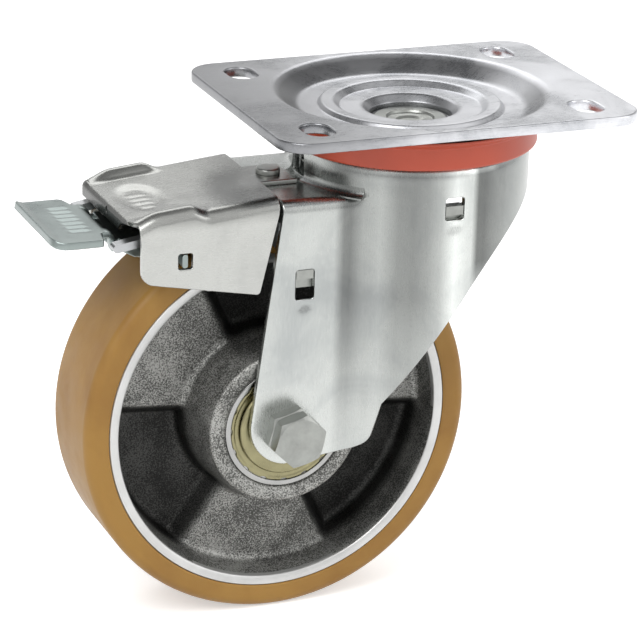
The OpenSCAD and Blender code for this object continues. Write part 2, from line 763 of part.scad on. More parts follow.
// Side view of a pedal cheek, with the cam that pushes the lever
module cheek_side() {
    foot = pivot_z - 3.6;
    polygon([
        [arm_out_x - 1.6, arm_top - 0.5], [arm_out_x - 0.4, arm_top - 4], [arm_out_x + 5, pivot_z],
        [cam_x - cam_r, pivot_z],
        [cam_x, pivot_z - cam_r], [cam_x + cam_r * 0.7, pivot_z - cam_r * 0.7], [pivot_x - 2.5, foot],
        [arm_in_x + 0.5, foot], [arm_in_x, pivot_z], [arm_in_x, arm_top - 0.5], [arm_out_x, arm_top - 0.5]]);
    translate([cam_x, pivot_z]) circle(r = cam_r, $fn = 36);
}
module brake_pedal() {
    color("silver") {
        translate([0, 0, pad_top - pedal_t]) linear_extrude(pedal_t) pad_plan();
        // turned-up front edge
        across(-pad_w / 2 + pad_corner_r, pad_w / 2 - pad_corner_r) polygon([
            [pad_out_x + 1.5, pad_top - pedal_t], [pad_out_x + 4.5, pad_top - pedal_t],
            [pad_out_x + 3.6, pad_top + grip_h], [pad_out_x, pad_top + grip_h]]);
        // arm that dips under the cover's front edge
        across(-cheek_out, cheek_out) polygon([
            [pad_in_x + 3, pad_top], [pad_in_x + 3, pad_top - pedal_t], [arm_out_x, arm_top - pedal_t],
            [arm_in_x, arm_top - pedal_t], [arm_in_x, arm_top], [arm_out_x + 0.8, arm_top]]);
        both_sides() across(cheek_out - cheek_t, cheek_out) cheek_side();
        // lugs that rock in the cover's windows
        both_sides() translate([pivot_x - lug_t / 2, cheek_out - cheek_t, pivot_z - lug_h / 2])
            cube([lug_t, cover_out - cheek_out + cheek_t, lug_h]);
    }
}

// Pressed lever: the shoe above the tyre, two rails beside it and a tooth for the swivel's notches
module brake_lever() {
    tooth_top = cup_under - 0.5;
    prong_low = lever_low - prong_drop;
    rail_w = rail_out - rail_in;
    color("lightslategray") {
        difference() {
            union() {
                // flat middle and tooth
                translate([lever_bend_x, -rail_out, lever_low])
                    cube([lever_neck_x - lever_bend_x, 2 * rail_out, lever_t]);
                translate([lever_neck_x - 1, -9, lever_low])
                    cube([lever_front_x - lever_neck_x + 1, 18, lever_t]);
                translate([lever_front_x - tooth_t, -tooth_w / 2, lever_low])
                    cube([tooth_t, tooth_w, tooth_top - lever_low]);
                // ears for the pins
                both_sides() across(rail_in, rail_in + lever_t) {
                    translate([lever_pin_x, lever_pin_z]) circle(r = lever_pin_r + 2.4);
                    translate([lever_pin_x - lever_pin_r - 2.4, lever_pin_z])
                        square([2 * lever_pin_r + 4.8, lever_low - lever_pin_z + eps]);
                }
            }
            translate([lever_pin_x, leg_out, lever_pin_z]) rotate([90, 0, 0])
                cylinder(r = lever_pin_r + 0.05, h = 2 * leg_out);
        }
        // rails with prongs that show under the pedal
        both_sides() across(rail_in, rail_in + rail_w) {
            polygon([
                [lever_bend_x + 2, lever_top], [lever_bend_x + 2, lever_low], [tail_back_x, lever_low],
                [prong_x, prong_low], [prong_x, prong_low + lever_t], [tail_back_x, lever_top]]);
            translate([prong_x, prong_low + lever_t / 2]) circle(d = lever_t, $fn = 32);
        }
        // shoe, curved so that it lies on the tyre when the pedal is down
        across(-shoe_half_w, shoe_half_w) shoe_arc(1.5, shoe_end_a);
        across(-tail_half_w, tail_half_w) shoe_arc(tail_start_a, shoe_end_a);
    }
}
module shoe_arc(a0, a1) {
    polygon(concat(
        arc(shoe_c, shoe_arc_r, 90 + a0, 90 + a1, 10),
        arc(shoe_c, shoe_arc_r + lever_t, 90 + a1, 90 + a0, 10)));
}

mounting_plate();
king_pin();
seal_ring();
lower_cup();
upper_balls();
lower_balls();
fork();
brake_bracket();
lever_pins();
brake_cover();
cover_rivet();
axle_tube();
axle_bolt();
axle_thin_nut();
axle_nut();
axle_washer();
bearing_spacer();
near_dust_flange();
far_dust_flange();
near_inner_ring();
far_inner_ring();
near_outer_ring();
far_outer_ring();
near_bearing_balls();
far_bearing_balls();
near_shield();
far_shield();
wheel_centre();
tyre();
brake_pedal();
brake_lever();
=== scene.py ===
"""Looks of a swivel castor: bright zinc sheet, a cast wheel with an amber tyre and a foot brake.

Lengths in the geometry are in millimetres, in the part's own frame: the origin is the middle of the
plate's top face, +Z is up and the wheel trails towards -X. They become metres when a mesh is made.
"""

from __future__ import annotations

import logging
import math
from dataclasses import dataclass, field
from enum import Enum
from typing import Callable, Sequence

import bmesh
import bpy
import numpy as np
from mathutils import Matrix
from mathutils.geometry import delaunay_2d_cdt

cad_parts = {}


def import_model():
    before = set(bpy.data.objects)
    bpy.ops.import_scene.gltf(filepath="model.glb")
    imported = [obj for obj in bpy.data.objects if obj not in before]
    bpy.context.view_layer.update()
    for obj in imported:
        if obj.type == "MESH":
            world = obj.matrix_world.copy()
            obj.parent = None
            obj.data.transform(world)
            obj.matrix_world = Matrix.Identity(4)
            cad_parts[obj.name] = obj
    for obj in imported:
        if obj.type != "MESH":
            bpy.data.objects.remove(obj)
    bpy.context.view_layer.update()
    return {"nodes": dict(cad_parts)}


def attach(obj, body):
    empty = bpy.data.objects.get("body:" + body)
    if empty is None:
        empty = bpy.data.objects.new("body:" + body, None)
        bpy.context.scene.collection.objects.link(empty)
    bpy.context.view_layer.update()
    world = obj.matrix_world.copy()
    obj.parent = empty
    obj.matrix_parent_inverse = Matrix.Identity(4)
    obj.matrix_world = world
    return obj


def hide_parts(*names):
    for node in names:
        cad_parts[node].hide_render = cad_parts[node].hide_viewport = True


LOG = logging.getLogger("castor")
MM = 0.001
WHITE = (1.0, 1.0, 1.0, 1.0)
Array = np.ndarray
Mapping = Callable[[Array, Array], tuple[Array, Array]]
Socket = bpy.types.NodeSocket
Colour = tuple[float, float, float]
Stops = tuple[tuple[float, float], ...]
Points = tuple[tuple[float, float], ...]


# Surfaces


class Axis(Enum):
    """Axis that a turned surface goes round."""

    SWIVEL = "swivel"
    AXLE_NEAR = "axle, seen from the near side"
    AXLE_FAR = "axle, seen from the far side"


@dataclass(frozen=True)
class Place:
    """Where the castor's two axes and the cover's rivet are."""

    axle_x: float = -57.0
    axle_z: float = -117.0
    rivet_x: float = -56.0
    rivet_hole: float = 2.7

    def put(self, points: Array, axis: Axis) -> Array:
        """Moves points drawn about +Z onto one of the axes.

        Args:
            points: array (..., 3) drawn with the axis along +Z.
            axis: which axis they belong to.

        Returns:
            The points in the part's frame.
        """
        if axis is Axis.SWIVEL:
            return points
        x, y, z = points[..., 0], points[..., 1], points[..., 2]
        side = -1.0 if axis is Axis.AXLE_NEAR else 1.0
        return np.stack([x + self.axle_x, side * z, y + self.axle_z], axis=-1)


PLACE = Place()


def smooth_step(t: Array) -> Array:
    """Eases 0 to 1 with flat ends: 3 t^2 - 2 t^3, held to 0..1.

    Args:
        t: input values.

    Returns:
        The eased values.
    """
    t = np.clip(t, 0.0, 1.0)
    return t * t * (3.0 - 2.0 * t)


def round_corners(corners: Sequence[Sequence[float]], closed: bool = True, steps: int = 6) -> Array:
    """Rounds each corner of an outline with an arc that touches both of its sides.

    The arc's ends lie at distance r tan(turn / 2) from the corner, and the points between follow a
    circle of radius r. A corner with radius 0 stays sharp.

    Args:
        corners: both coordinates and the radius of each corner, in order.
        closed: whether the last corner joins the first.
        steps: pieces in each arc.

    Returns:
        Array (n, 2) of the rounded outline.
    """
    table = np.array(corners, float)
    p, r = table[:, :2], table[:, 2]
    before, after = np.roll(p, 1, axis=0), np.roll(p, -1, axis=0)
    u, v = p - before, after - p
    lu, lv = np.linalg.norm(u, axis=1), np.linalg.norm(v, axis=1)
    u, v = u / np.maximum(lu, 1e-9)[:, None], v / np.maximum(lv, 1e-9)[:, None]
    cross = u[:, 0] * v[:, 1] - u[:, 1] * v[:, 0]
    turn = np.arctan2(cross, (u * v).sum(axis=1))
    if not closed:
        r[0] = r[-1] = 0.0
    cut = np.minimum(r * np.tan(np.abs(turn) / 2), 0.49 * np.minimum(lu, lv))
    rr = cut / np.maximum(np.tan(np.abs(turn) / 2), 1e-9)
    side = np.stack([-u[:, 1], u[:, 0]], axis=1) * np.sign(turn)[:, None]
    start = p - u * cut[:, None]
    centre = start + side * rr[:, None]
    a = np.linspace(0, 1, steps + 1)[None, :] * turn[:, None]
    arm = start - centre
    c, s = np.cos(a), np.sin(a)
    x = centre[:, 0:1] + arm[:, 0:1] * c - arm[:, 1:2] * s
    y = centre[:, 1:2] + arm[:, 0:1] * s + arm[:, 1:2] * c
    out = np.stack([x, y], axis=-1)
    sharp = cut < 1e-6
    out[sharp] = p[sharp][:, None, :]
    out = out.reshape(-1, 2)
    keep = np.ones(len(out), bool)
    keep[1:] = np.linalg.norm(np.diff(out, axis=0), axis=1) > 1e-4
    out = out[keep]
    if closed and np.linalg.norm(out[0] - out[-1]) < 1e-4:
        out = out[:-1]
    return out


def rounded_box(low: Sequence[float], high: Sequence[float], radius: float, steps: int) -> Array:
    """Rectangle between two opposite corners, anticlockwise, with round corners.

    Args:
        low: corner with the lower coordinates.
        high: corner with the higher coordinates.
        radius: radius of its corners.
        steps: pieces in each arc.

    Returns:
        Array (n, 2) of the outline.
    """
    (x0, y0), (x1, y1) = low, high
    return round_corners(
        [(x0, y0, radius), (x1, y0, radius), (x1, y1, radius), (x0, y1, radius)], steps=steps
    )


def full_turn(steps: int) -> Array:
    """Angles all the way round, without the last one."""
    return np.linspace(0, 2 * math.pi, steps, endpoint=False)


def circle(centre: Sequence[float], radius: float, steps: int) -> Array:
    """Points (steps, 2) of a circle, anticlockwise."""
    a = full_turn(steps)
    return np.asarray(centre, float) + radius * np.column_stack([np.cos(a), np.sin(a)])


def revolve(profile: Array, a: Array) -> Array:
    """Turns a section about +Z: radius r and height z become (r cos a, r sin a, z) at each angle.

    Args:
        profile: section (n, 2), or (n, len(a), 2) where it changes with the angle.
        a: the angles.

    Returns:
        Array (n, len(a), 3).
    """
    if profile.ndim == 2:
        profile = profile[:, None]
    r, z = profile[..., 0], profile[..., 1]
    return np.stack([r * np.cos(a), r * np.sin(a), z + 0 * a], axis=-1)


def arc(centre: Sequence[float], radius: float, start: float, end: float, steps: int) -> Array:
    """Points (steps, 2) of an arc between two angles in degrees."""
    a = np.radians(np.linspace(start, end, steps))
    return np.asarray(centre, float) + radius * np.column_stack([np.cos(a), np.sin(a)])


def resample(points: Array, spacing: float, closed: bool = True) -> Array:
    """Puts extra points on the long sides of an outline, so that no side is longer than spacing.

    Args:
        points: outline (n, 2).
        spacing: longest side wanted.
        closed: whether the last point joins the first.

    Returns:
        The outline with its old points and the new ones.
    """
    ring = np.vstack([points, points[:1]]) if closed else points
    legs = np.diff(ring, axis=0)
    counts = np.maximum(1, np.ceil(np.linalg.norm(legs, axis=1) / spacing).astype(int))
    index = np.repeat(np.arange(len(legs)), counts)
    first = np.cumsum(counts) - counts
    t = (np.arange(counts.sum()) - first[index]) / counts[index]
    out = ring[:-1][index] + legs[index] * t[:, None]
    return out if closed else np.vstack([out, ring[-1:]])


def resample_path(path: Array, spacing: float) -> Array:
    """Spaces points evenly along an open line in space, by its length.

    Args:
        path: points (n, 3).
        spacing: distance wanted between the new ones.

    Returns:
        Array (m, 3).
    """
    length = np.concatenate([[0.0], np.cumsum(np.linalg.norm(np.diff(path, axis=0), axis=1))])
    at = np.linspace(0, length[-1], max(2, int(length[-1] / spacing) + 1))
    return np.column_stack([np.interp(at, length, path[:, k]) for k in range(3)])


def loop_normals(loop: Array) -> Array:
    """Inward unit normals of a loop that runs anticlockwise (outward ones if it runs clockwise).

    Each is the left-hand normal of the mean of the two sides that meet there, stretched by the corner.

    Args:
        loop: closed outline (n, 2).

    Returns:
        Array (n, 2) of mitred normals.
    """
    a = loop - np.roll(loop, 1, axis=0)
    b = np.roll(loop, -1, axis=0) - loop
    a /= np.linalg.norm(a, axis=1)[:, None]
    b /= np.linalg.norm(b, axis=1)[:, None]
    na = np.stack([-a[:, 1], a[:, 0]], axis=1)
    nb = np.stack([-b[:, 1], b[:, 0]], axis=1)
    m = na + nb
    m /= np.maximum(np.linalg.norm(m, axis=1), 1e-9)[:, None]
    return m / np.maximum((m * na).sum(axis=1), 0.5)[:, None]


def signed_area(loop: Array) -> float:
    """Area of a closed loop, positive when it runs anticlockwise: half the sum of x dy - y dx."""
    x, y = loop[:, 0], loop[:, 1]
    return float(0.5 * np.sum(x * np.roll(y, -1) - y * np.roll(x, -1)))


def inside(points: Array, loop: Array) -> Array:
    """Tells which points lie inside a loop, by counting the sides that a ray to the right crosses.

    Args:
        points: points to test (n, 2).
        loop: closed outline (m, 2).

    Returns:
        Array (n,) of bool.
    """
    x, y = points[:, 0:1], points[:, 1:2]
    x0, y0 = loop[None, :, 0], loop[None, :, 1]
    nxt = np.roll(loop, -1, axis=0)
    x1, y1 = nxt[None, :, 0], nxt[None, :, 1]
    spans = (y0 > y) != (y1 > y)
    with np.errstate(divide="ignore", invalid="ignore"):
        at = x0 + (y - y0) * (x1 - x0) / (y1 - y0)
    return ((spans & (x < at)).sum(axis=1) % 2) == 1


@dataclass
class Shell:
    """Vertices and faces gathered before they become one Blender mesh."""

    verts: list[Array] = field(default_factory=list)
    faces: list[Array] = field(default_factory=list)
    count: int = 0

    def add(self, verts: Array, faces: Sequence[Array]) -> None:
        """Adds a block of vertices and the faces that index it.

        Args:
            verts: array (n, 3) in millimetres.
            faces: arrays (m, 3) or (m, 4) of indices into verts.
        """
        self.verts.append(verts.reshape(-1, 3))
        self.faces.extend(f + self.count for f in faces if len(f))
        self.count += len(verts.reshape(-1, 3))

    def grid(self, pts: Array, close_u: bool = False, close_v: bool = False, flip: bool = False) -> None:
        """Adds a surface given as a grid of points, face (i, j) joining points i, i+1 and j, j+1.

        Args:
            pts: array (nu, nv, 3).
            close_u: whether the last row joins the first.
            close_v: whether the last column joins the first.
            flip: turns the faces round.
        """
        nu, nv = pts.shape[:2]
        i = np.arange(nu if close_u else nu - 1)
        j = np.arange(nv if close_v else nv - 1)
        ii, jj = np.meshgrid(i, j, indexing="ij")
        i2, j2 = (ii + 1) % nu, (jj + 1) % nv
        quads = np.stack([ii * nv + jj, i2 * nv + jj, i2 * nv + j2, ii * nv + j2], axis=-1).reshape(-1, 4)
        self.add(pts.reshape(-1, 3), [quads[:, ::-1] if flip else quads])

    def mesh(self, name: str, sharp: float = 35.0, merge: float = 0.002) -> bpy.types.Object:
        """Makes the Blender object: merged, facing outwards and smooth, with sharp edges kept.

        Args:
            name: the piece's name.
            sharp: angle in degrees above which an edge stays sharp.
            merge: distance in millimetres within which vertices join.

        Returns:
            The new object, at the origin.
        """
        verts = np.vstack(self.verts) * MM
        data = bpy.data.meshes.new(name)
        data.from_pydata(verts, [], [f for block in self.faces for f in block.tolist()])
        bm = bmesh.new()
        bm.from_mesh(data)
        bmesh.ops.remove_doubles(bm, verts=bm.verts, dist=merge * MM)
        bmesh.ops.dissolve_degenerate(bm, edges=bm.edges, dist=1e-7)
        bmesh.ops.recalc_face_normals(bm, faces=bm.faces)
        bm.to_mesh(data)
        bm.free()
        data.validate()
        data.shade_smooth()
        data.set_sharp_from_angle(angle=math.radians(sharp))
        obj = bpy.data.objects.new(name, data)
        bpy.context.scene.collection.objects.link(obj)
        return obj


def flat_map(s: Array, t: Array) -> tuple[Array, Array]:
    """Maps sheet coordinates straight onto X and Y, and gives the normal, which points up."""
    z = np.zeros_like(s)
    return np.stack([s, t, z], axis=-1), np.stack([z, z, z + 1.0], axis=-1)


def triangulate(loops: Sequence[Array], inner: Array) -> tuple[Array, Array]:
    """Fills an outline with holes by triangles that also use the given inner points.

    Args:
        loops: the outline and then its holes, each (n, 2).
        inner: points inside, (m, 2), or an empty array.

    Returns:
        The points (k, 2) and the triangles (l, 3), which run anticlockwise.
    """
    sizes = [len(loop) for loop in loops]
    starts = np.cumsum([0] + sizes[:-1])
    rings = [np.arange(n) for n in sizes]
    edges = np.vstack([np.stack([k, (k + 1) % len(k)], axis=1) + s for k, s in zip(rings, starts)])
    pts = np.vstack([*loops, inner]) if len(inner) else np.vstack(loops)
    done = delaunay_2d_cdt(
        [tuple(p) for p in pts.tolist()], [tuple(e) for e in edges.tolist()], [], 0, 1e-5
    )
    out = np.array([tuple(v) for v in done[0]])
    tris = np.array([f for f in done[2] if len(f) == 3], int)
    mid = out[tris].mean(axis=1)
    keep = inside(mid, loops[0])
    for hole in loops[1:]:
        keep &= ~inside(mid, hole)
    tris = tris[keep]
    a, b, c = out[tris[:, 0]], out[tris[:, 1]], out[tris[:, 2]]
    area = (b[:, 0] - a[:, 0]) * (c[:, 1] - a[:, 1]) - (b[:, 1] - a[:, 1]) * (c[:, 0] - a[:, 0])
    tris[area < 0] = tris[area < 0][:, ::-1]
    return out, tris


def ready_loops(loops: Sequence[Array], spacing: float) -> list[Array]:
    """Spaces the points of an outline and its holes, the outline anticlockwise and the holes clockwise.

    Args:
        loops: the outline and then its holes.
        spacing: longest side wanted.

    Returns:
        The loops.
    """
    spaced = [resample(np.asarray(loop, float), spacing) for loop in loops]
    return [loop[::-1] if (signed_area(loop) > 0) != (k == 0) else loop for k, loop in enumerate(spaced)]


def inner_points(loops: Sequence[Array], step: float) -> Array:
    """Square grid of points inside an outline, off its holes and not too near a rim.

    Args:
        loops: the outline and then its holes.
        step: distance between the points.

    Returns:
        Array (n, 2).
    """
    low, high = loops[0].min(axis=0), loops[0].max(axis=0)
    gs = np.arange(low[0] + step / 2, high[0], step)
    gt = np.arange(low[1] + step / 2, high[1], step)
    g = np.stack(np.meshgrid(gs, gt, indexing="ij"), axis=-1).reshape(-1, 2)
    ok = inside(g, loops[0])
    for hole in loops[1:]:
        ok &= ~inside(g, hole)
    g = g[ok]
    rim = np.vstack(loops)
    away = np.abs(g[:, None, 0] - rim[None, :, 0]) + np.abs(g[:, None, 1] - rim[None, :, 1])
    return g[np.min(away, axis=1) > 0.55 * step]


def pressed_sheet(
    shell: Shell,
    loops: Sequence[Array],
    place: Mapping,
    thickness: float,
    edge: float = 0.45,
    spacing: float = 3.0,
    grid: float = 0.0,
    opening: Array | None = None,
) -> None:
    """Adds a sheet of metal: an outline with holes, bent into place, with a thickness and round edges.

    The two faces are the outline moved in by the edge radius and filled with triangles. The rim is a
    profile carried along each loop: a quarter circle, the straight sheared side and another quarter
    circle. Point (s, t) at depth d lies at P(s, t) - d N(s, t), where place gives P and N.

    Args:
        shell: where the sheet is added.
        loops: the outline and its holes, in sheet coordinates.
        place: gives the points and unit normals of sheet coordinates s and t.
        thickness: how thick the sheet is, measured against the normal.
        edge: radius of the round edges.
        spacing: longest side of the outline.
        grid: distance between the points inside, or 0 for none, as on a flat sheet.
        opening: loop left open in both faces, where another surface goes on.
    """
    fixed = ready_loops(loops, spacing)
    normals = [loop_normals(loop) for loop in fixed]
    quarter = np.linspace(0, math.pi / 2, 4)
    side, low = edge * (1 - np.sin(quarter)), edge * (1 - np.cos(quarter))
    inset = np.concatenate([[edge + 0.3], side, side[::-1], [edge + 0.3]])
    depth = np.concatenate([[0.0], low, thickness - low[::-1], [thickness]])
    face = [loop + n * inset[0] for loop, n in zip(fixed, normals)]
    inner = inner_points(face, grid) if grid > 0 else np.empty((0, 2))
    flat, tris = triangulate(face if opening is None else [*face, opening], inner)
    for d, turn in ((0.0, False), (thickness, True)):
        p, n = place(flat[:, 0], flat[:, 1])
        shell.add(p - n * d, [tris[:, ::-1] if turn else tris])
    for loop, normal in zip(fixed, normals):
        st = loop[None] + normal[None] * inset[:, None, None]
        p, n = place(st[..., 0], st[..., 1])
        shell.grid(p - n * depth[:, None, None], close_v=True)


def folded(t: Array, radius: float, end: float) -> tuple[Array, Array, Array]:
    """Runs a straight distance round a quarter circle that ends at a given level.

    With a = (t - (end - radius)) / radius, held to 0..pi/2, the sheet lies radius (1 - cos a) to the
    side, and past the bend the rest of t goes to the side too.

    Args:
        t: distance; above the bend's start it goes on as arc length.
        radius: radius of the bend.
        end: level of the sheet past the bend.

    Returns:
        The distance to the side, the level and the angle a.
    """
    start = end - radius
    a = np.clip((t - start) / radius, 0, math.pi / 2)
    rest = np.maximum(t - start - radius * math.pi / 2, 0)
    return radius * (1 - np.cos(a)) + rest, np.minimum(t, start) + radius * np.sin(a), a


def with_normals(surface: Callable[[Array, Array], Array], s: Array, t: Array) -> tuple[Array, Array]:
    """Points of a surface and its unit normals, dP/ds x dP/dt, from steps of 0.05 mm to both sides.

    Args:
        surface: gives the points of sheet coordinates s and t.
        s: first sheet coordinate.
        t: second sheet coordinate.

    Returns:
        Points and normals.
    """
    h = 0.05
    n = np.cross(surface(s + h, t) - surface(s - h, t), surface(s, t + h) - surface(s, t - h))
    return surface(s, t), n / np.linalg.norm(n, axis=-1, keepdims=True)


def stamp(
    x: Array,
    y: Array,
    x0: float,
    x1: float,
    half: float,
    ease: float,
    shift: float = 0.0,
) -> Array:
    """Row of plain ribs across Y inside a rectangle: 0 outside and between them, 1 on top.

    The ribs are an eased cosine of Y, and each of the rectangle's sides is eased as well.

    Args:
        x: place along X.
        y: place across, from the middle of a rib.
        x0: low end in X.
        x1: high end in X.
        half: half the rectangle's width.
        ease: length over which the ribs rise in X.
        shift: how far the rectangle's middle lies from that rib.

    Returns:
        The share of the ribs' height.
    """
    pitch, side = 4.4, 0.8
    ribs = smooth_step((np.cos(2 * math.pi * y / pitch) - 0.1) / 0.5)
    ends = smooth_step((x - x0) / ease) * smooth_step((x1 - x) / ease)
    return ribs * ends * smooth_step((half - np.abs(y - shift)) / side)


def turned(
    shell: Shell,
    profile: Array,
    axis: Axis = Axis.SWIVEL,
    steps: int = 160,
    closed: bool = True,
) -> None:
    """Adds a surface of revolution: profile point (r, z) goes round to (r cos a, r sin a, z).

    Args:
        shell: where the surface is added.
        profile: section (n, 2) of radius and height.
        axis: axis that it goes round.
        steps: pieces round the axis.
        closed: whether the section is a closed loop.
    """
    pts = revolve(np.asarray(profile, float), full_turn(steps))
    shell.grid(PLACE.put(pts, axis), close_u=closed, close_v=True)


def swept(shell: Shell, profile: Array, path: Array) -> None:
    """Adds a closed profile carried along an open path, with flat ends.

    At each path point the profile's first coordinate runs along the side vector, tangent x up, and
    its second along side x tangent.

    Args:
        shell: where the surface is added.
        profile: closed section (n, 2).
        path: points (m, 3).
    """
    tangent = np.gradient(path, axis=0)
    tangent /= np.linalg.norm(tangent, axis=1)[:, None]
    side = np.cross(tangent, [0.0, 0.0, 1.0])
    side /= np.linalg.norm(side, axis=1)[:, None]
    lift = np.cross(side, tangent)
    pts = path[:, None] + side[:, None] * profile[None, :, 0:1] + lift[:, None] * profile[None, :, 1:2]
    shell.grid(pts, close_v=True)
    flat, tris = triangulate([profile], np.empty((0, 2)))
    for k, turn in ((0, True), (-1, False)):
        cap = path[k] + side[k] * flat[:, 0:1] + lift[k] * flat[:, 1:2]
        shell.add(cap, [tris[:, ::-1] if turn else tris])


# Finishes

# Heights in mm over which a sheet's painted light and shade set in: from none to full.
OVER_THE_LEGS = (-150.0, -66.0)
ON_THE_CROWN = (-68.0, -54.0)
EVERYWHERE = (-200.0, -190.0)


def fill_ramp(ramp: bpy.types.ColorRamp, stops: Sequence[tuple[float, Sequence[float]]]) -> None:
    """Gives a colour ramp its stops.

    Args:
        ramp: a new ramp, with Blender's two stops.
        stops: position and linear colour of each stop, two or more.
    """
    while len(ramp.elements) < len(stops):
        ramp.elements.new(0.5)
    for element, (position, colour) in zip(ramp.elements, stops):
        element.position = position
        element.color = (*colour, 1.0)


def shade(colour: Colour, share: float) -> Colour:
    """The colour times a share, held to 1."""
    return tuple(min(1.0, c * share) for c in colour)


class Nodes:
    """Small helper that builds one material's node tree."""

    def __init__(self, name: str) -> None:
        """Starts a material with a Principled shader.

        Args:
            name: the material's name.
        """
        self.material = bpy.data.materials.new(name)
        self.material.use_nodes = True
        self.tree = self.material.node_tree
        self.shader = self.tree.nodes["Principled BSDF"]
        self.coords = self.tree.nodes.new("ShaderNodeTexCoord")

    def link(self, a: Socket, b: Socket) -> None:
        """Joins an output to an input."""
        self.tree.links.new(a, b)

    def mapping(self, scale: Sequence[float], at: Sequence[float] = (0, 0, 0)) -> Socket:
        """Object coordinates, moved and scaled.

        Args:
            scale: factor along each axis.
            at: offset in metres.

        Returns:
            The vector socket.
        """
        node = self.tree.nodes.new("ShaderNodeMapping")
        node.inputs["Location"].default_value = at
        node.inputs["Scale"].default_value = scale
        self.link(self.coords.outputs["Object"], node.inputs["Vector"])
        return node.outputs["Vector"]

    def distance(self, scale: Sequence[float], at: Sequence[float] = (0, 0, 0)) -> Socket:
        """Length of the moved and scaled Object coordinates.

        Args:
            scale: factor along each axis.
            at: offset in metres.

        Returns:
            The value socket.
        """
        node = self.tree.nodes.new("ShaderNodeVectorMath")
        node.operation = "LENGTH"
        self.link(self.mapping(scale, at), node.inputs[0])
        return node.outputs["Value"]

    def part(self, axis: str) -> Socket:
        """Splits off one of the Object coordinates.

        Args:
            axis: X, Y or Z.

        Returns:
            The value socket.
        """
        node = self.tree.nodes.new("ShaderNodeSeparateXYZ")
        self.link(self.coords.outputs["Object"], node.inputs["Vector"])
        return node.outputs[axis]

    def noise(
        self,
        scale: float,
        detail: float = 4.0,
        rough: float = 0.5,
        vector: Socket | None = None,
        warp: float = 0.0,
    ) -> Socket:
        """Noise texture's value.

        Args:
            scale: cells per metre of the incoming vector.
            detail: octaves.
            rough: strength of the finer octaves.
            vector: where it's read, by default Object coordinates.
            warp: distortion.

        Returns:
            The value socket.
        """
        node = self.tree.nodes.new("ShaderNodeTexNoise")
        node.inputs["Scale"].default_value = scale
        node.inputs["Detail"].default_value = detail
        node.inputs["Roughness"].default_value = rough
        node.inputs["Distortion"].default_value = warp
        self.link(vector or self.coords.outputs["Object"], node.inputs["Vector"])
        return node.outputs["Fac"]

    def ramp(self, value: Socket, stops: Sequence[tuple[float, Sequence[float]]]) -> Socket:
        """Colour ramp over a value.

        Args:
            value: input.
            stops: position and linear colour of each stop.

        Returns:
            The colour socket.
        """
        node = self.tree.nodes.new("ShaderNodeValToRGB")
        fill_ramp(node.color_ramp, stops)
        self.link(value, node.inputs["Fac"])
        return node.outputs["Color"]

    def span(self, value: Socket, a0: float, a1: float, b0: float, b1: float) -> Socket:
        """Maps a value from a0..a1 to b0..b1, clamped.

        Args:
            value: input.
            a0: low end in.
            a1: high end in.
            b0: low end out.
            b1: high end out.

        Returns:
            The value socket.
        """
        node = self.tree.nodes.new("ShaderNodeMapRange")
        for key, number in (("From Min", a0), ("From Max", a1), ("To Min", b0), ("To Max", b1)):
            node.inputs[key].default_value = number
        self.link(value, node.inputs["Value"])
        return node.outputs["Result"]

    def maths(self, kind: str, a: Socket, b: Socket | float) -> Socket:
        """Joins two values by a Math node.

        Args:
            kind: the node's operation.
            a: first value.
            b: second value or number.

        Returns:
            The value socket.
        """
        node = self.tree.nodes.new("ShaderNodeMath")
        node.operation = kind
        self.link(a, node.inputs[0])
        if isinstance(b, (int, float)):
            node.inputs[1].default_value = b
        else:
            self.link(b, node.inputs[1])
        return node.outputs[0]

    def blend(
        self,
        a: Socket,
        b: Socket | Sequence[float],
        amount: Socket | float,
        kind: str = "MIX",
    ) -> Socket:
        """Mixes two colours.

        Args:
            a: first colour.
            b: second colour or linear triple.
            amount: share of the second.
            kind: blend type.

        Returns:
            The colour socket.
        """
        node = self.tree.nodes.new("ShaderNodeMix")
        node.data_type = "RGBA"
        node.blend_type = kind
        self.link(a, node.inputs[6])
        if isinstance(b, (tuple, list)):
            node.inputs[7].default_value = (*b, 1.0)
        else:
            self.link(b, node.inputs[7])
        if isinstance(amount, (int, float)):
            node.inputs[0].default_value = amount
        else:
            self.link(amount, node.inputs[0])
        return node.outputs[2]

    def bump(
        self,
        height: Socket,
        distance: float,
        strength: float = 1.0,
        under: Socket | None = None,
    ) -> Socket:
        """Bump from a height.

        Args:
            height: value 0..1.
            distance: depth in metres at value 1.
            strength: share of it.
            under: normal to start from.

        Returns:
            The normal socket.
        """
        node = self.tree.nodes.new("ShaderNodeBump")
        node.inputs["Distance"].default_value = distance
        node.inputs["Strength"].default_value = strength
        self.link(height, node.inputs["Height"])
        if under is not None:
            self.link(under, node.inputs["Normal"])
        return node.outputs["Normal"]

    def set(self, **sockets: float | Sequence[float] | Socket) -> None:
        """Sets or links the shader's inputs.

        Args:
            sockets: value or socket for each input; an underscore in its name stands for a space.
        """
        for key, value in sockets.items():
            target = self.shader.inputs[key.replace("_", " ")]
            if isinstance(value, bpy.types.NodeSocket):
                self.link(value, target)
            elif isinstance(value, (tuple, list)) and len(value) == 3:
                target.default_value = (*value, 1.0) if len(target.default_value) == 4 else value
            else:
                target.default_value = value


class Grain(Enum):
    """Direction in which a sheet was rolled, as the scale of its lines along each axis."""

    LENGTH = (6.0, 60.0, 60.0)
    UPRIGHT = (60.0, 60.0, 7.0)


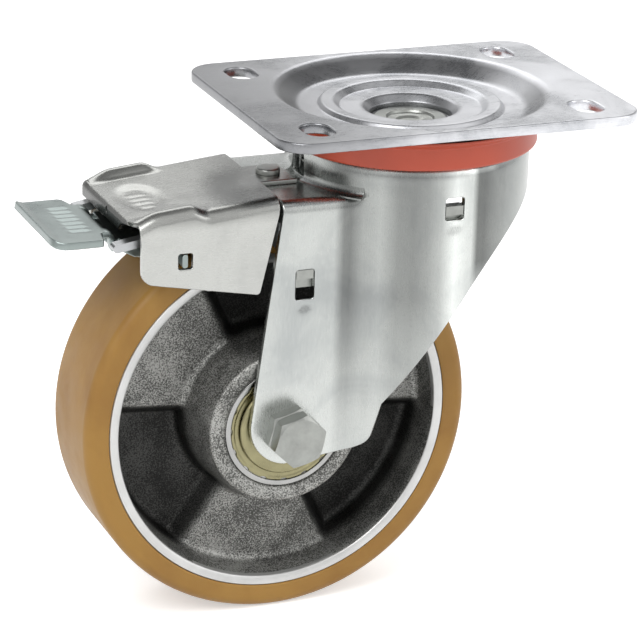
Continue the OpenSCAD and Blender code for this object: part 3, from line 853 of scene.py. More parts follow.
@dataclass(frozen=True)
class ZincSheet:
    """Bright zinc plate on rolled sheet: mirror-like patches, a cloudy haze, fine rolling lines and
    painted light and shade.
    """

    name: str
    colour: Colour = (0.64, 0.66, 0.645)
    cloud: Colour = (0.45, 0.47, 0.465)
    rough_low: float = 0.16
    rough_high: float = 0.38
    grain: Grain = Grain.LENGTH
    wave: float = 0.00035
    # These four tables paint light and shade: bands of painted highlight, reflection and shade along X,
    # on the crown, along Z and round the swivel axis.
    across: Stops = ()
    painted_reflection_streak: Stops = ()
    height: Stops = ()
    rings: Stops = ()

    def paint_light_and_shade(self, n: Nodes, colour: Socket, part: str, stops: Stops, low: float, fade: float) -> Socket:
        """Multiplies the colour by painted light and shade: tones that follow one Object coordinate in
        millimetres.

        Args:
            n: the material's nodes.
            colour: the colour so far.
            part: the coordinate, X or Z, or R for the distance from the upright axis.
            stops: pairs of place and tone.
            low: height in mm where the tones have faded out.
            fade: height in mm above which they are full.

        Returns:
            The new colour.
        """
        first, last = stops[0][0] * MM, stops[-1][0] * MM
        along = n.distance((1, 1, 0)) if part == "R" else n.part(part)
        at = n.span(along, first, last, 0.0, 1.0)
        scaled = [((place * MM - first) / (last - first), (tone,) * 3) for place, tone in stops]
        amount = n.span(n.part("Z"), low * MM, fade * MM, 0.0, 1.0)
        return n.blend(colour, n.ramp(at, scaled), amount, "MULTIPLY")

    def build(self) -> bpy.types.Material:
        """Makes the material.

        Returns:
            The new material.
        """
        n = Nodes(self.name)
        cloud = n.noise(28, 5, 0.6, warp=0.8)
        lines = n.noise(34, 6, 0.7, n.mapping(self.grain.value))
        speck = n.noise(900, 2, 0.5)
        tone = n.span(n.maths("ADD", cloud, n.maths("MULTIPLY", lines, 0.35)), 0.45, 0.95, 0.0, 1.0)
        colour = n.ramp(tone, [(0.0, self.cloud), (0.55, self.colour), (1.0, shade(self.colour, 1.08))])
        colour = n.blend(colour, shade(self.colour, 0.72), n.span(speck, 0.62, 0.75, 0.0, 0.35))
        # painted light and shade: highlight, reflection and shade bands multiplied into the colour
        for part, stops, low, fade in (
            ("X", self.across, *OVER_THE_LEGS),
            ("X", self.painted_reflection_streak, *ON_THE_CROWN),
            ("Z", self.height, *EVERYWHERE),
            ("R", self.rings, *EVERYWHERE),
        ):
            if stops:
                colour = self.paint_light_and_shade(n, colour, part, stops, low, fade)
        uneven = n.maths("ADD", n.maths("MULTIPLY", lines, 0.6), n.maths("MULTIPLY", cloud, 0.6))
        rough = n.span(uneven, 0.4, 0.85, self.rough_low, self.rough_high)
        wave = n.bump(n.noise(42, 2, 0.4), self.wave, 0.8)
        normal = n.bump(lines, 0.00002, 0.6, wave)
        n.set(Base_Color=colour, Metallic=1.0, Roughness=rough, Normal=normal)
        return n.material


@dataclass(frozen=True)
class PlainMetal:
    """Metal of one colour with a light unevenness, for hardware, bearings and hidden steel."""

    name: str
    colour: Colour
    rough: float = 0.3
    uneven: float = 0.12
    scale: float = 120.0
    bump: float = 0.00003

    def build(self) -> bpy.types.Material:
        """Makes the material.

        Returns:
            The new material.
        """
        n = Nodes(self.name)
        cloud = n.noise(self.scale, 5, 0.6)
        colour = n.ramp(cloud, [(0.3, shade(self.colour, 1 - 2 * self.uneven)), (0.65, self.colour)])
        rough = n.span(cloud, 0.3, 0.7, self.rough - self.uneven * 0.6, self.rough + self.uneven * 0.6)
        n.set(
            Base_Color=colour,
            Metallic=1.0,
            Roughness=rough,
            Normal=n.bump(n.noise(self.scale * 4, 3, 0.5), self.bump, 0.7),
        )
        return n.material


@dataclass(frozen=True)
class CastAluminium:
    """Sand-cast aluminium: dark, granular and dull, with bright grains and painted shade in the deep
    pockets.
    """

    name: str
    dark: Colour = (0.075, 0.075, 0.07)
    light: Colour = (0.4, 0.4, 0.38)
    # painted shade: tone by distance from the wheel's middle plane, darkest in the sunk pockets
    deep: Stops = ((0.0, 0.13), (4.0, 0.14), (7.0, 0.6), (9.0, 1.0), (20.0, 1.0))

    def build(self) -> bpy.types.Material:
        """Makes the material.

        Returns:
            The new material.
        """
        n = Nodes(self.name)
        grain = n.noise(1900, 3, 0.6)
        cloud = n.noise(60, 4, 0.6)
        mixed = n.maths("ADD", n.maths("MULTIPLY", grain, 0.65), n.maths("MULTIPLY", cloud, 0.35))
        middle = tuple(0.62 * a + 0.38 * b for a, b in zip(self.dark, self.light))
        colour = n.ramp(mixed, [(0.44, self.dark), (0.50, middle), (0.57, self.light)])
        # painted shade, darker the nearer the web lies to the wheel's middle plane
        depth = n.maths("ABSOLUTE", n.part("Y"), 0.0)
        deepest = self.deep[-1][0]
        stops = [(place / deepest, (value,) * 3) for place, value in self.deep]
        tone = n.ramp(n.span(depth, 0.0, deepest * MM, 0.0, 1.0), stops)
        colour = n.blend(colour, tone, 1.0, "MULTIPLY")
        n.set(
            Base_Color=colour,
            Metallic=0.75,
            Roughness=n.span(grain, 0.35, 0.65, 0.5, 0.38),
            Normal=n.bump(grain, 0.00022, 0.75),
        )
        return n.material


@dataclass(frozen=True)
class TurnedRing:
    """Machined face with fine rings round the axle."""

    name: str
    colour: Colour = (0.62, 0.62, 0.61)

    def build(self) -> bpy.types.Material:
        """Makes the material.

        Returns:
            The material, whose rings follow the distance from the axle.
        """
        n = Nodes(self.name)
        radius = n.distance((1, 0, 1), (-PLACE.axle_x * MM, 0, -PLACE.axle_z * MM))
        rings = n.tree.nodes.new("ShaderNodeTexNoise")
        rings.noise_dimensions = "1D"
        rings.inputs["Scale"].default_value = 6000
        rings.inputs["Detail"].default_value = 3
        n.link(radius, rings.inputs["W"])
        cloud = n.noise(70, 4, 0.6)
        colour = n.ramp(cloud, [(0.35, shade(self.colour, 0.86)), (0.7, self.colour)])
        n.set(
            Base_Color=colour,
            Metallic=0.85,
            Roughness=0.36,
            Normal=n.bump(rings.outputs["Fac"], 0.00003, 0.8),
        )
        return n.material


@dataclass(frozen=True)
class CastRubber:
    """Cast polyurethane: amber brown, slightly cloudy, with a soft shine."""

    name: str
    colour: Colour = (0.33, 0.18, 0.042)
    deep: Colour = (0.25, 0.125, 0.028)

    def build(self) -> bpy.types.Material:
        """Makes the material.

        Returns:
            The new material.
        """
        n = Nodes(self.name)
        cloud = n.noise(22, 5, 0.6, warp=0.4)
        colour = n.ramp(cloud, [(0.3, self.deep), (0.6, self.colour)])
        fine = n.noise(700, 3, 0.6)
        n.set(
            Base_Color=colour,
            Roughness=n.span(n.noise(90, 4, 0.6), 0.3, 0.7, 0.4, 0.52),
            Normal=n.bump(fine, 0.00005, 0.5),
            Subsurface_Weight=0.06,
            Subsurface_Radius=(0.004, 0.002, 0.001),
            Specular_IOR_Level=0.32,
        )
        return n.material


@dataclass(frozen=True)
class MouldedPlastic:
    """Moulded plastic with a fine skin."""

    name: str
    colour: Colour = (0.50, 0.075, 0.035)

    def build(self) -> bpy.types.Material:
        """Makes the material.

        Returns:
            The new material.
        """
        n = Nodes(self.name)
        cloud = n.noise(35, 3, 0.5)
        colour = n.ramp(cloud, [(0.3, shade(self.colour, 0.88)), (0.7, self.colour)])
        n.set(
            Base_Color=colour,
            Roughness=n.span(cloud, 0.3, 0.7, 0.36, 0.46),
            Normal=n.bump(n.noise(1200, 2), 0.00004, 0.5),
        )
        return n.material


class Finish(Enum):
    """Every finish on the castor."""

    PLATE = ZincSheet(
        "zinc_plate",
        colour=(0.56, 0.565, 0.585),
        cloud=(0.32, 0.33, 0.35),
        rough_low=0.2,
        rough_high=0.46,
        # painted reflection: darker on the left, brighter on the right
        across=((-70, 0.4), (-45, 0.55), (-15, 0.95), (40, 1.08), (70, 1.15)),
        # painted highlight on the sheared edge and the dish below the top face
        height=((-5, 1.2), (-0.6, 1.2), (-0.1, 1.0), (0, 1.0)),
        # painted shade in the pin socket and on the dish's slope round the seal
        rings=(
            (0, 0.5), (15, 0.5), (18, 0.55), (19.5, 0.85), (41.0, 0.85), (44.0, 0.42), (48.5, 0.36),
            (51.5, 1.0), (90, 1.0),
        ),
    )
    FORK = ZincSheet(
        "zinc_fork",
        colour=(0.60, 0.62, 0.60),
        grain=Grain.UPRIGHT,
        rough_low=0.2,
        rough_high=0.34,
        wave=0.0002,
        # painted reflection bands across the round skirt and the valleys beside the legs
        across=(
            (-75, 0.82),
            (-50, 0.82),
            (-41.5, 0.78),
            (-38, 0.36),
            (-35.5, 0.32),
            (-31, 0.52),
            (-26, 0.62),
            (-20.5, 0.4),
            (-15.5, 0.38),
            (-10.5, 0.48),
            (-5.5, 0.7),
            (0, 1.25),
            (5, 1.0),
            (21, 0.62),
            (31, 0.8),
            (50, 0.9),
        ),
        # painted reflection: a dark streak on the crown
        painted_reflection_streak=((6.5, 1.0), (9, 0.32), (12, 0.34), (16, 0.55), (22, 0.85)),
        # painted highlight: a bright band on the shoulder under the seal
        height=((-46, 1.0), (-24, 0.95), (-20.5, 1.0), (-18, 1.5), (-14, 1.5)),
    )
    COVER = ZincSheet(
        "zinc_cover",
        colour=(0.475, 0.48, 0.46),
        cloud=(0.38, 0.385, 0.37),
        rough_low=0.2,
        rough_high=0.34,
        wave=0.0002,
        # painted shade on the front fold
        across=((-118.4, 0.2), (-117.9, 0.22), (-116.6, 0.9), (-115.2, 1.0), (-60, 1.0)),
        # painted shade on the top, darker than the side plates
        height=((-43, 1.0), (-36, 1.0), (-32.6, 0.8), (-26, 0.72)),
    )
    PEDAL = ZincSheet(
        "zinc_pedal", colour=(0.28, 0.32, 0.31), cloud=(0.2, 0.235, 0.23), rough_low=0.24, rough_high=0.4
    )
    HARDWARE = PlainMetal("look_zinc_hardware", (0.36, 0.37, 0.35), 0.34, 0.12, 160.0, 0.00012)
    STEEL = PlainMetal("look_plain_steel", (0.50, 0.51, 0.52), 0.36)
    BEARING = PlainMetal("look_bearing_steel", (0.42, 0.42, 0.41), 0.22, 0.08)
    YELLOW = PlainMetal("look_yellow_zinc", (0.32, 0.295, 0.17), 0.3, 0.12)
    CAST = CastAluminium("look_cast_aluminium")
    RIM = TurnedRing("turned_aluminium")
    TYRE = CastRubber("amber_polyurethane")
    SEAL = MouldedPlastic("look_red_plastic")

    def material(self) -> bpy.types.Material:
        """The finish's material, made once."""
        return bpy.data.materials.get(self.value.name) or self.value.build()


def dress(obj: bpy.types.Object, *finishes: Finish) -> None:
    """Gives an object its finishes, one per material slot.

    Args:
        obj: a new piece or a CAD node.
        finishes: the finishes, in slot order.
    """
    while len(obj.data.materials) < len(finishes):
        obj.data.materials.append(None)
    for k, finish in enumerate(finishes):
        obj.data.materials[k] = finish.material()


def install(
    shell: Shell,
    name: str,
    body: str,
    nodes: Sequence[str],
    slot: str,
    *finishes: Finish,
    sharp: float = 35.0,
) -> bpy.types.Object:
    """Makes a piece from a shell, dresses it, hangs it on its body and hides the nodes it replaces.

    Args:
        shell: the piece's surfaces.
        name: the piece's name.
        body: CAD body it moves with.
        nodes: CAD nodes it replaces.
        slot: not used.
        finishes: its finishes.
        sharp: angle above which an edge stays sharp.

    Returns:
        The new object.
    """
    obj = shell.mesh(name, sharp)
    dress(obj, *finishes)
    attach(obj, body)
    if nodes:
        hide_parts(*nodes)
    LOG.info(
        "%s: %d faces, on %s, for %s", name, len(obj.data.polygons), body, ", ".join(nodes) or "no node"
    )
    return obj


# Swivel head


@dataclass
class SwivelHead:
    """Mounting plate with its pressed dish, the king pin and the red seal."""

    length: float = 140.0
    width: float = 110.0
    thickness: float = 4.0
    corner: float = 12.0
    hole_x: float = 52.5
    hole_y: float = 38.75
    hole_r: float = 5.5
    slot_half: float = 8.0
    edge: float = 0.7
    dish: float = 54.0
    bore: Points = ((9.1, -11.5), (9.1, -15.0))

    def outline(self) -> Array:
        """Plate outline: a rectangle with round corners."""
        x, y, r = self.length / 2, self.width / 2, self.corner
        return rounded_box((-x, -y), (x, y), r, 12)

    def slots(self) -> list[Array]:
        """The four bolt slots: half circles of the slot's radius at both ends of a straight stretch.

        Returns:
            Four closed loops.
        """
        end = arc((0.0, self.slot_half - self.hole_r), self.hole_r, 0, 180, 17)
        one = np.vstack([end, -end])
        return [one + np.array([sx * self.hole_x, sy * self.hole_y]) for sx in (-1, 1) for sy in (-1, 1)]

    def dish_profile(self) -> Array:
        """Section of the dish through the sheet: rim, slope, floor, ball ridge, flat and pin socket.

        Returns:
            Array (n, 2) from the rim over the top to the bore, and back below the sheet.
        """
        top = round_corners(
            [
                (self.dish, 0, 0), (51.2, 0, 5.5), (42, -6, 4.5), (34.6, -6, 1.0), (33.2, -4.2, 1.2),
                (28.8, -4.4, 2.4), (26.3, -6.5, 1.2), (17.8, -6.5, 2.4), (15.2, -9.2, 1.0),
                (15.2, -11.5, 0.4), (9.1, -11.5, 0),
            ],
            closed=False,
            steps=8,
        )
        low = round_corners(
            [
                (9.1, -15, 0), (18.2, -15, 1.5), (18.2, -11.2, 1), (26.2, -11.2, 2), (28.5, -8.5, 1.5),
                (31.5, -8.5, 1.5), (34.5, -10, 1.5), (43.2, -10, 4), (51.5, -4, 4), (self.dish, -4, 0),
            ],
            closed=False,
            steps=6,
        )
        return np.vstack([top, low])

    def build(self) -> None:
        """Makes the plate, the pin and the seal."""
        steps = 192
        shell = Shell()
        pressed_sheet(
            shell,
            [self.outline(), *self.slots()],
            flat_map,
            self.thickness,
            edge=self.edge,
            spacing=1.2,
            opening=circle((0.0, 0.0), self.dish, steps),
        )
        turned(shell, self.dish_profile(), steps=steps, closed=False)
        turned(shell, np.array(self.bore), steps=steps, closed=False)
        install(shell, "plate_shell", "plate", ["mounting_plate"], "zinc_sheet", Finish.PLATE)
        self.build_pin()
        self.build_seal()

    def build_pin(self) -> None:
        """King pin: stepped head with a dimple in the socket, shank and riveted foot."""
        shell = Shell()
        profile = round_corners(
            [
                (0, -12.4, 0), (4.2, -12.4, 0.5), (5.4, -11.6, 0.6), (8.4, -11.4, 0.4),
                (9.0, -10.4, 0.4), (13.2, -10.4, 0.8), (14.4, -11.0, 0.5), (14.4, -11.5, 0.1),
                (9, -11.5, 0.1), (9, -26.5, 0.1), (12.6, -26.5, 0.5), (12.6, -28, 0.6), (11, -29.6, 0.5),
                (0, -29.6, 0),
            ],
            closed=False,
            steps=5,
        )
        turned(shell, profile, steps=96, closed=False)
        install(shell, "king_pin_turned", "plate", ["king_pin"], "zinc_hardware", Finish.HARDWARE)

    def build_seal(self) -> None:
        """Red ring with a soft lower edge and a lip at its top that follows the dish."""
        shell = Shell()
        profile = round_corners(
            [
                (45.0, -17.2, 0.5), (46.9, -17.2, 0.5), (47.2, -16.4, 0.5), (47.2, -9.0, 1.0),
                (50.6, -6.7, 0.3), (50.3, -5.8, 0.3), (46.4, -8.5, 0.3), (45.0, -9.8, 0.3),
            ],
            steps=5,
        )
        turned(shell, profile, steps=192)
        install(shell, "seal_moulding", "plate", ["seal_ring"], "red_plastic", Finish.SEAL)


# Fork


@dataclass
class Fork:
    """Pressed fork: a drawn crown with a round skirt, two flat legs and a back plate between them.

    brow, toe and foot are arcs of the side view: the middle's X and Z, and the radius. The dome and
    the back plate are tucked a hair inside the pressing, so that no two faces share a place.
    """

    sheet: float = 3.0
    crown_r: float = 44.5
    leg: float = 31.0
    top: float = -14.5
    shoulder: float = 7.0
    back_top: float = -29.0
    back_x: float = -61.5
    bend: float = 4.0
    valley: float = 8.0
    front: Points = ((44.49, -31.0), (43.2, -31.8), (40.5, -33.4))
    brow: tuple[float, ...] = (99.2, -133.0, 115.0)
    throat: tuple[float, float] = (-24.0, -108.0)
    toe: tuple[float, ...] = (-35.5, -118.2, 8.8)
    foot: tuple[float, ...] = (-57.0, -114.5, 15.3)
    axle_hole: float = 6.1
    crown_lap: float = 2.5
    dome_fillet: float = 3.2
    tuck: float = 0.01
    windows: tuple[tuple[float, float, float, float], ...] = (
        (-52.5, -60.6, 7.2, 11.4), (-0.4, -32.8, 7.4, 8.6)
    )
    hollows: Points = ((-52.5, -68.0), (-0.4, -38.6))
    hollow_depth: float = 1.1
    hollow_along: float = 3.2
    hollow_up: float = 2.6

    def plan(self, s: Array) -> tuple[Array, Array, Array]:
        """Walks the near half of the fork's plan and gives the point and its outward normal.

        s is the distance from the middle of the front, along the round skirt, through the hollow
        valley where the skirt turns into the leg, and straight back along the leg.

        Args:
            s: distances, with a negative sign on the far side.

        Returns:
            x, y of the surface and its outward normal (n, 2) stacked last.
        """
        far = np.where(s < 0, -1.0, 1.0)
        d = np.abs(s)
        big, small = self.crown_r, self.valley
        cx, cy = -math.sqrt((big + small) ** 2 - (self.leg + small) ** 2), -(self.leg + small)
        meet = math.atan2(-cy, -cx)  # angle of the touching point, from -X
        a_end = math.pi - meet
        l1 = big * a_end
        turn = math.pi / 2 - meet
        l2 = small * turn
        a = np.clip(d / big, 0, a_end)
        x1, y1 = big * np.cos(a), -big * np.sin(a)
        n1 = np.stack([np.cos(a), -np.sin(a)], axis=-1)
        b = np.clip((d - l1) / small, 0, turn)
        # on the hollow arc the normal points at its centre
        ang = meet + b
        x2, y2 = cx + small * np.cos(ang), cy + small * np.sin(ang)
        n2 = -np.stack([np.cos(ang), np.sin(ang)], axis=-1)
        x3, y3 = cx - (d - l1 - l2), np.full_like(d, -self.leg)
        n3 = np.stack([np.zeros_like(d), -np.ones_like(d)], axis=-1)
        in1, in2 = d <= l1, (d > l1) & (d <= l1 + l2)
        x = np.where(in1, x1, np.where(in2, x2, x3))
        y = np.where(in1, y1, np.where(in2, y2, y3))
        n = np.where(in1[..., None], n1, np.where(in2[..., None], n2, n3))
        n = n / np.linalg.norm(n, axis=-1, keepdims=True)
        y = y * far
        n = np.stack([n[..., 0], n[..., 1] * far], axis=-1)
        return x, y, n

    def lengths(self) -> tuple[float, float, float]:
        """Measures the plan.

        Returns:
            Distance along it to the skirt's end and to the valley's end, and the valley's end in X.
        """
        big, small = self.crown_r, self.valley
        cx, cy = -math.sqrt((big + small) ** 2 - (self.leg + small) ** 2), self.leg + small
        meet = math.atan2(cy, -cx)
        l1 = big * (math.pi - meet)
        return l1, l1 + small * (math.pi / 2 - meet), cx

    def side_to_sheet(self, xz: Array) -> Array:
        """Turns side-view points into sheet coordinates (distance along the plan, height).

        On the skirt the distance is the radius times the angle whose cosine gives X.

        Args:
            xz: side-view points (n, 2).

        Returns:
            Sheet points (n, 2).
        """
        _, l2, cx = self.lengths()
        s = np.linspace(0, l2, 400)
        x, _, _ = self.plan(s)
        along = np.interp(-xz[:, 0], -x, s)
        along = np.where(xz[:, 0] < cx, l2 + (cx - xz[:, 0]), along)
        return np.column_stack([along, xz[:, 1]])

    def place(self, s: Array, t: Array) -> tuple[Array, Array]:
        """Bends the sheet into the skirt, shoulder, legs and the turned-in top edges.

        Below the bends a point is (plan(s), t). On the skirt, heights above the shoulder's start run
        round a quarter circle on to the crown. On the legs, they run round the bend to the back plate.

        Args:
            s: distance along the plan.
            t: height; above a bend it goes on as arc length.

        Returns:
            Points and outward normals.
        """
        l1, l2, _ = self.lengths()
        x, y, n = self.plan(s)
        on_leg = smooth_step((np.abs(s) - l1) / (l2 - l1))
        in_crown, z_crown, over = folded(t, self.shoulder, self.top)
        in_leg, z_leg, bow = folded(t, self.bend, self.back_top)
        inward = in_crown * (1 - on_leg) + in_leg * on_leg + self.scoops(s, t)
        z = z_crown * (1 - on_leg) + z_leg * on_leg
        tilt = over * (1 - on_leg) + bow * on_leg
        pts = np.stack([x - n[..., 0] * inward, y - n[..., 1] * inward, z], axis=-1)
        nn = np.stack([n[..., 0] * np.cos(tilt), n[..., 1] * np.cos(tilt), np.sin(tilt)], axis=-1)
        return pts, nn

    def scoops(self, s: Array, t: Array) -> Array:
        """Depth of the hollows pressed below the punched windows, a bell curve at each.

        Args:
            s: distance along the plan.
            t: height.

        Returns:
            How far the sheet lies inside its plane.
        """
        depth = np.zeros_like(s)
        for spot in self.hollows:
            along, height = self.side_to_sheet(np.array([spot]))[0]
            far = ((np.abs(s) - along) / self.hollow_along) ** 2 + ((t - height) / self.hollow_up) ** 2
            depth = depth + self.hollow_depth * np.exp(-far)
        return depth

    def crown_end(self) -> float:
        """Height, as arc length, where the shoulder's sheet ends on the crown."""
        return self.top - self.shoulder + self.shoulder * math.pi / 2 + self.crown_lap

    def half_outline(self) -> Array:
        """Sheet outline of the near half, from the front's lower edge round the foot to the crown's top.

        Returns:
            Array (n, 2) of sheet coordinates.
        """
        brow = arc(self.brow[:2], self.brow[2], 124, 145, 16)
        toe = arc(self.toe[:2], self.toe[2], 345, 283, 10)
        foot = arc(self.foot[:2], self.foot[2], 262, 176, 22)
        side = np.vstack([self.front, brow, [self.throat], toe, foot])
        side = resample(side, 3.0, closed=False)
        lower = self.side_to_sheet(side)
        l1, l2, cx = self.lengths()
        bend_end = self.back_top - self.bend + self.bend * math.pi / 2
        crown_end = self.crown_end()
        back_s = l2 + (cx - self.back_x)
        upper = np.array(
            [
                (back_s, self.back_top - self.bend), (back_s, bend_end + 1.5),
                (l2 - 0.3, bend_end + 1.5), (l1 + 0.6, self.back_top + 1.0), (l1 + 0.6, crown_end),
            ]
        )
        upper = resample(upper, 3.0, closed=False)
        return np.vstack([lower, upper])

    def window_loop(self, x: float, z: float, w: float, h: float) -> Array:
        """Punched window on the near side.

        Args:
            x: its middle in X.
            z: its middle in Z.
            w: its width.
            h: its height.

        Returns:
            The loop in sheet coordinates.
        """
        return self.side_to_sheet(rounded_box((x - w / 2, z - h / 2), (x + w / 2, z + h / 2), 1.2, 4))

    def build(self) -> None:
        """Makes the fork as one object: skirt and legs, back plate, dome and crown plate."""
        shell = Shell()
        near = self.half_outline()
        far = near[::-1] * np.array([-1.0, 1.0])
        keep_near = near[near[:, 0] > 1e-6]
        outline = np.vstack([keep_near, far[far[:, 0] < -1e-6]])
        axle = circle(self.side_to_sheet(np.array([[PLACE.axle_x, PLACE.axle_z]]))[0], self.axle_hole, 48)
        holes = [axle, *(self.window_loop(*window) for window in self.windows)]
        holes += [h[::-1] * np.array([-1.0, 1.0]) for h in holes]
        pressed_sheet(shell, [outline, *holes], self.place, self.sheet, edge=0.6, spacing=2.2, grid=1.6)
        self.back_plate(shell)
        self.dome(shell)
        self.crown_plate(shell)
        install(shell, "fork_pressing", "fork", ["fork"], "zinc_sheet", Finish.FORK, sharp=40)

    def back_plate(self, shell: Shell) -> None:
        """Adds the flat sheet between the legs, under the brake cover's tongue.

        Args:
            shell: where it is added.
        """
        half = self.leg - self.bend + 0.2
        hole = circle((PLACE.rivet_x, 0.0), PLACE.rivet_hole, 32)
        loop = np.array([(self.back_x, -half), (-36.0, -half), (-36.0, half), (self.back_x, half)])

        def place(s: Array, t: Array) -> tuple[Array, Array]:
            """Lays the sheet flat at the back plate's height."""
            p, n = flat_map(s, t)
            return p + np.array([0.0, 0.0, self.back_top - 1.2 * self.tuck]), n

        pressed_sheet(shell, [loop, hole], place, self.sheet - 2 * self.tuck, edge=0.3, spacing=3.0)

    def dome(self, shell: Shell) -> None:
        """Adds the back of the drawn crown, with the opening over the back plate, and its foot fillet.

        Args:
            shell: where it is added.
        """
        r = self.crown_r
        a0, a1 = math.radians(125), math.radians(235)
        low, high = self.back_top - 2.5, self.crown_end()
        loop = np.array([(a0 * r, low), (a1 * r, low), (a1 * r, high), (a0 * r, high)])
        mid = math.pi * r
        hole = round_corners(
            [
                (mid - 6, self.back_top + 0.8, 0.6), (mid + 6, self.back_top + 0.8, 0.6),
                (mid + 5, -19.3, 1.5), (mid - 5, -19.3, 1.5),
            ],
            steps=4,
        )

        def place(s: Array, t: Array) -> tuple[Array, Array]:
            """Rolls the sheet round the swivel axis and over the shoulder.

            Args:
                s: distance round the axis at the crown's radius.
                t: height, above the bend as arc length.

            Returns:
                Points and outward normals.
            """
            ang = s / r
            inward, z, over = folded(t, self.shoulder, self.top)
            rad = r - 1.5 * self.tuck - inward
            pts = np.stack([rad * np.cos(ang), rad * np.sin(ang), z - self.tuck], axis=-1)
            n = np.stack([np.cos(ang) * np.cos(over), np.sin(ang) * np.cos(over), np.sin(over)], axis=-1)
            return pts, n

        pressed_sheet(shell, [loop, hole], place, self.sheet, edge=0.4, spacing=2.0, grid=2.2)
        f = self.dome_fillet
        b = np.linspace(0, math.pi / 2, 7)
        curve = np.column_stack([r + f - f * np.sin(b), self.back_top + f - f * np.cos(b)])
        under = self.back_top - 0.6
        section = np.vstack([curve, [(r - 0.8, self.back_top + f), (r - 0.8, under), (r + f, under)]])
        flat, tris = triangulate([section], np.empty((0, 2)))
        for first, last in ((134.0, 171.5), (188.5, 226.0)):
            ang = np.radians(np.linspace(first, last, 26))
            shell.grid(revolve(section, ang), close_u=True)
            for k, turn in ((0, True), (-1, False)):
                shell.add(revolve(flat, ang[[k]]), [tris[:, ::-1] if turn else tris])

    def crown_plate(self, shell: Shell) -> None:
        """Adds the flat plate of the crown that runs between the two rings of balls."""
        profile = rounded_box((19.0, -18.5), (37.9, -14.6), 0.5, 3)
        turned(shell, profile, steps=128)


# Wheel


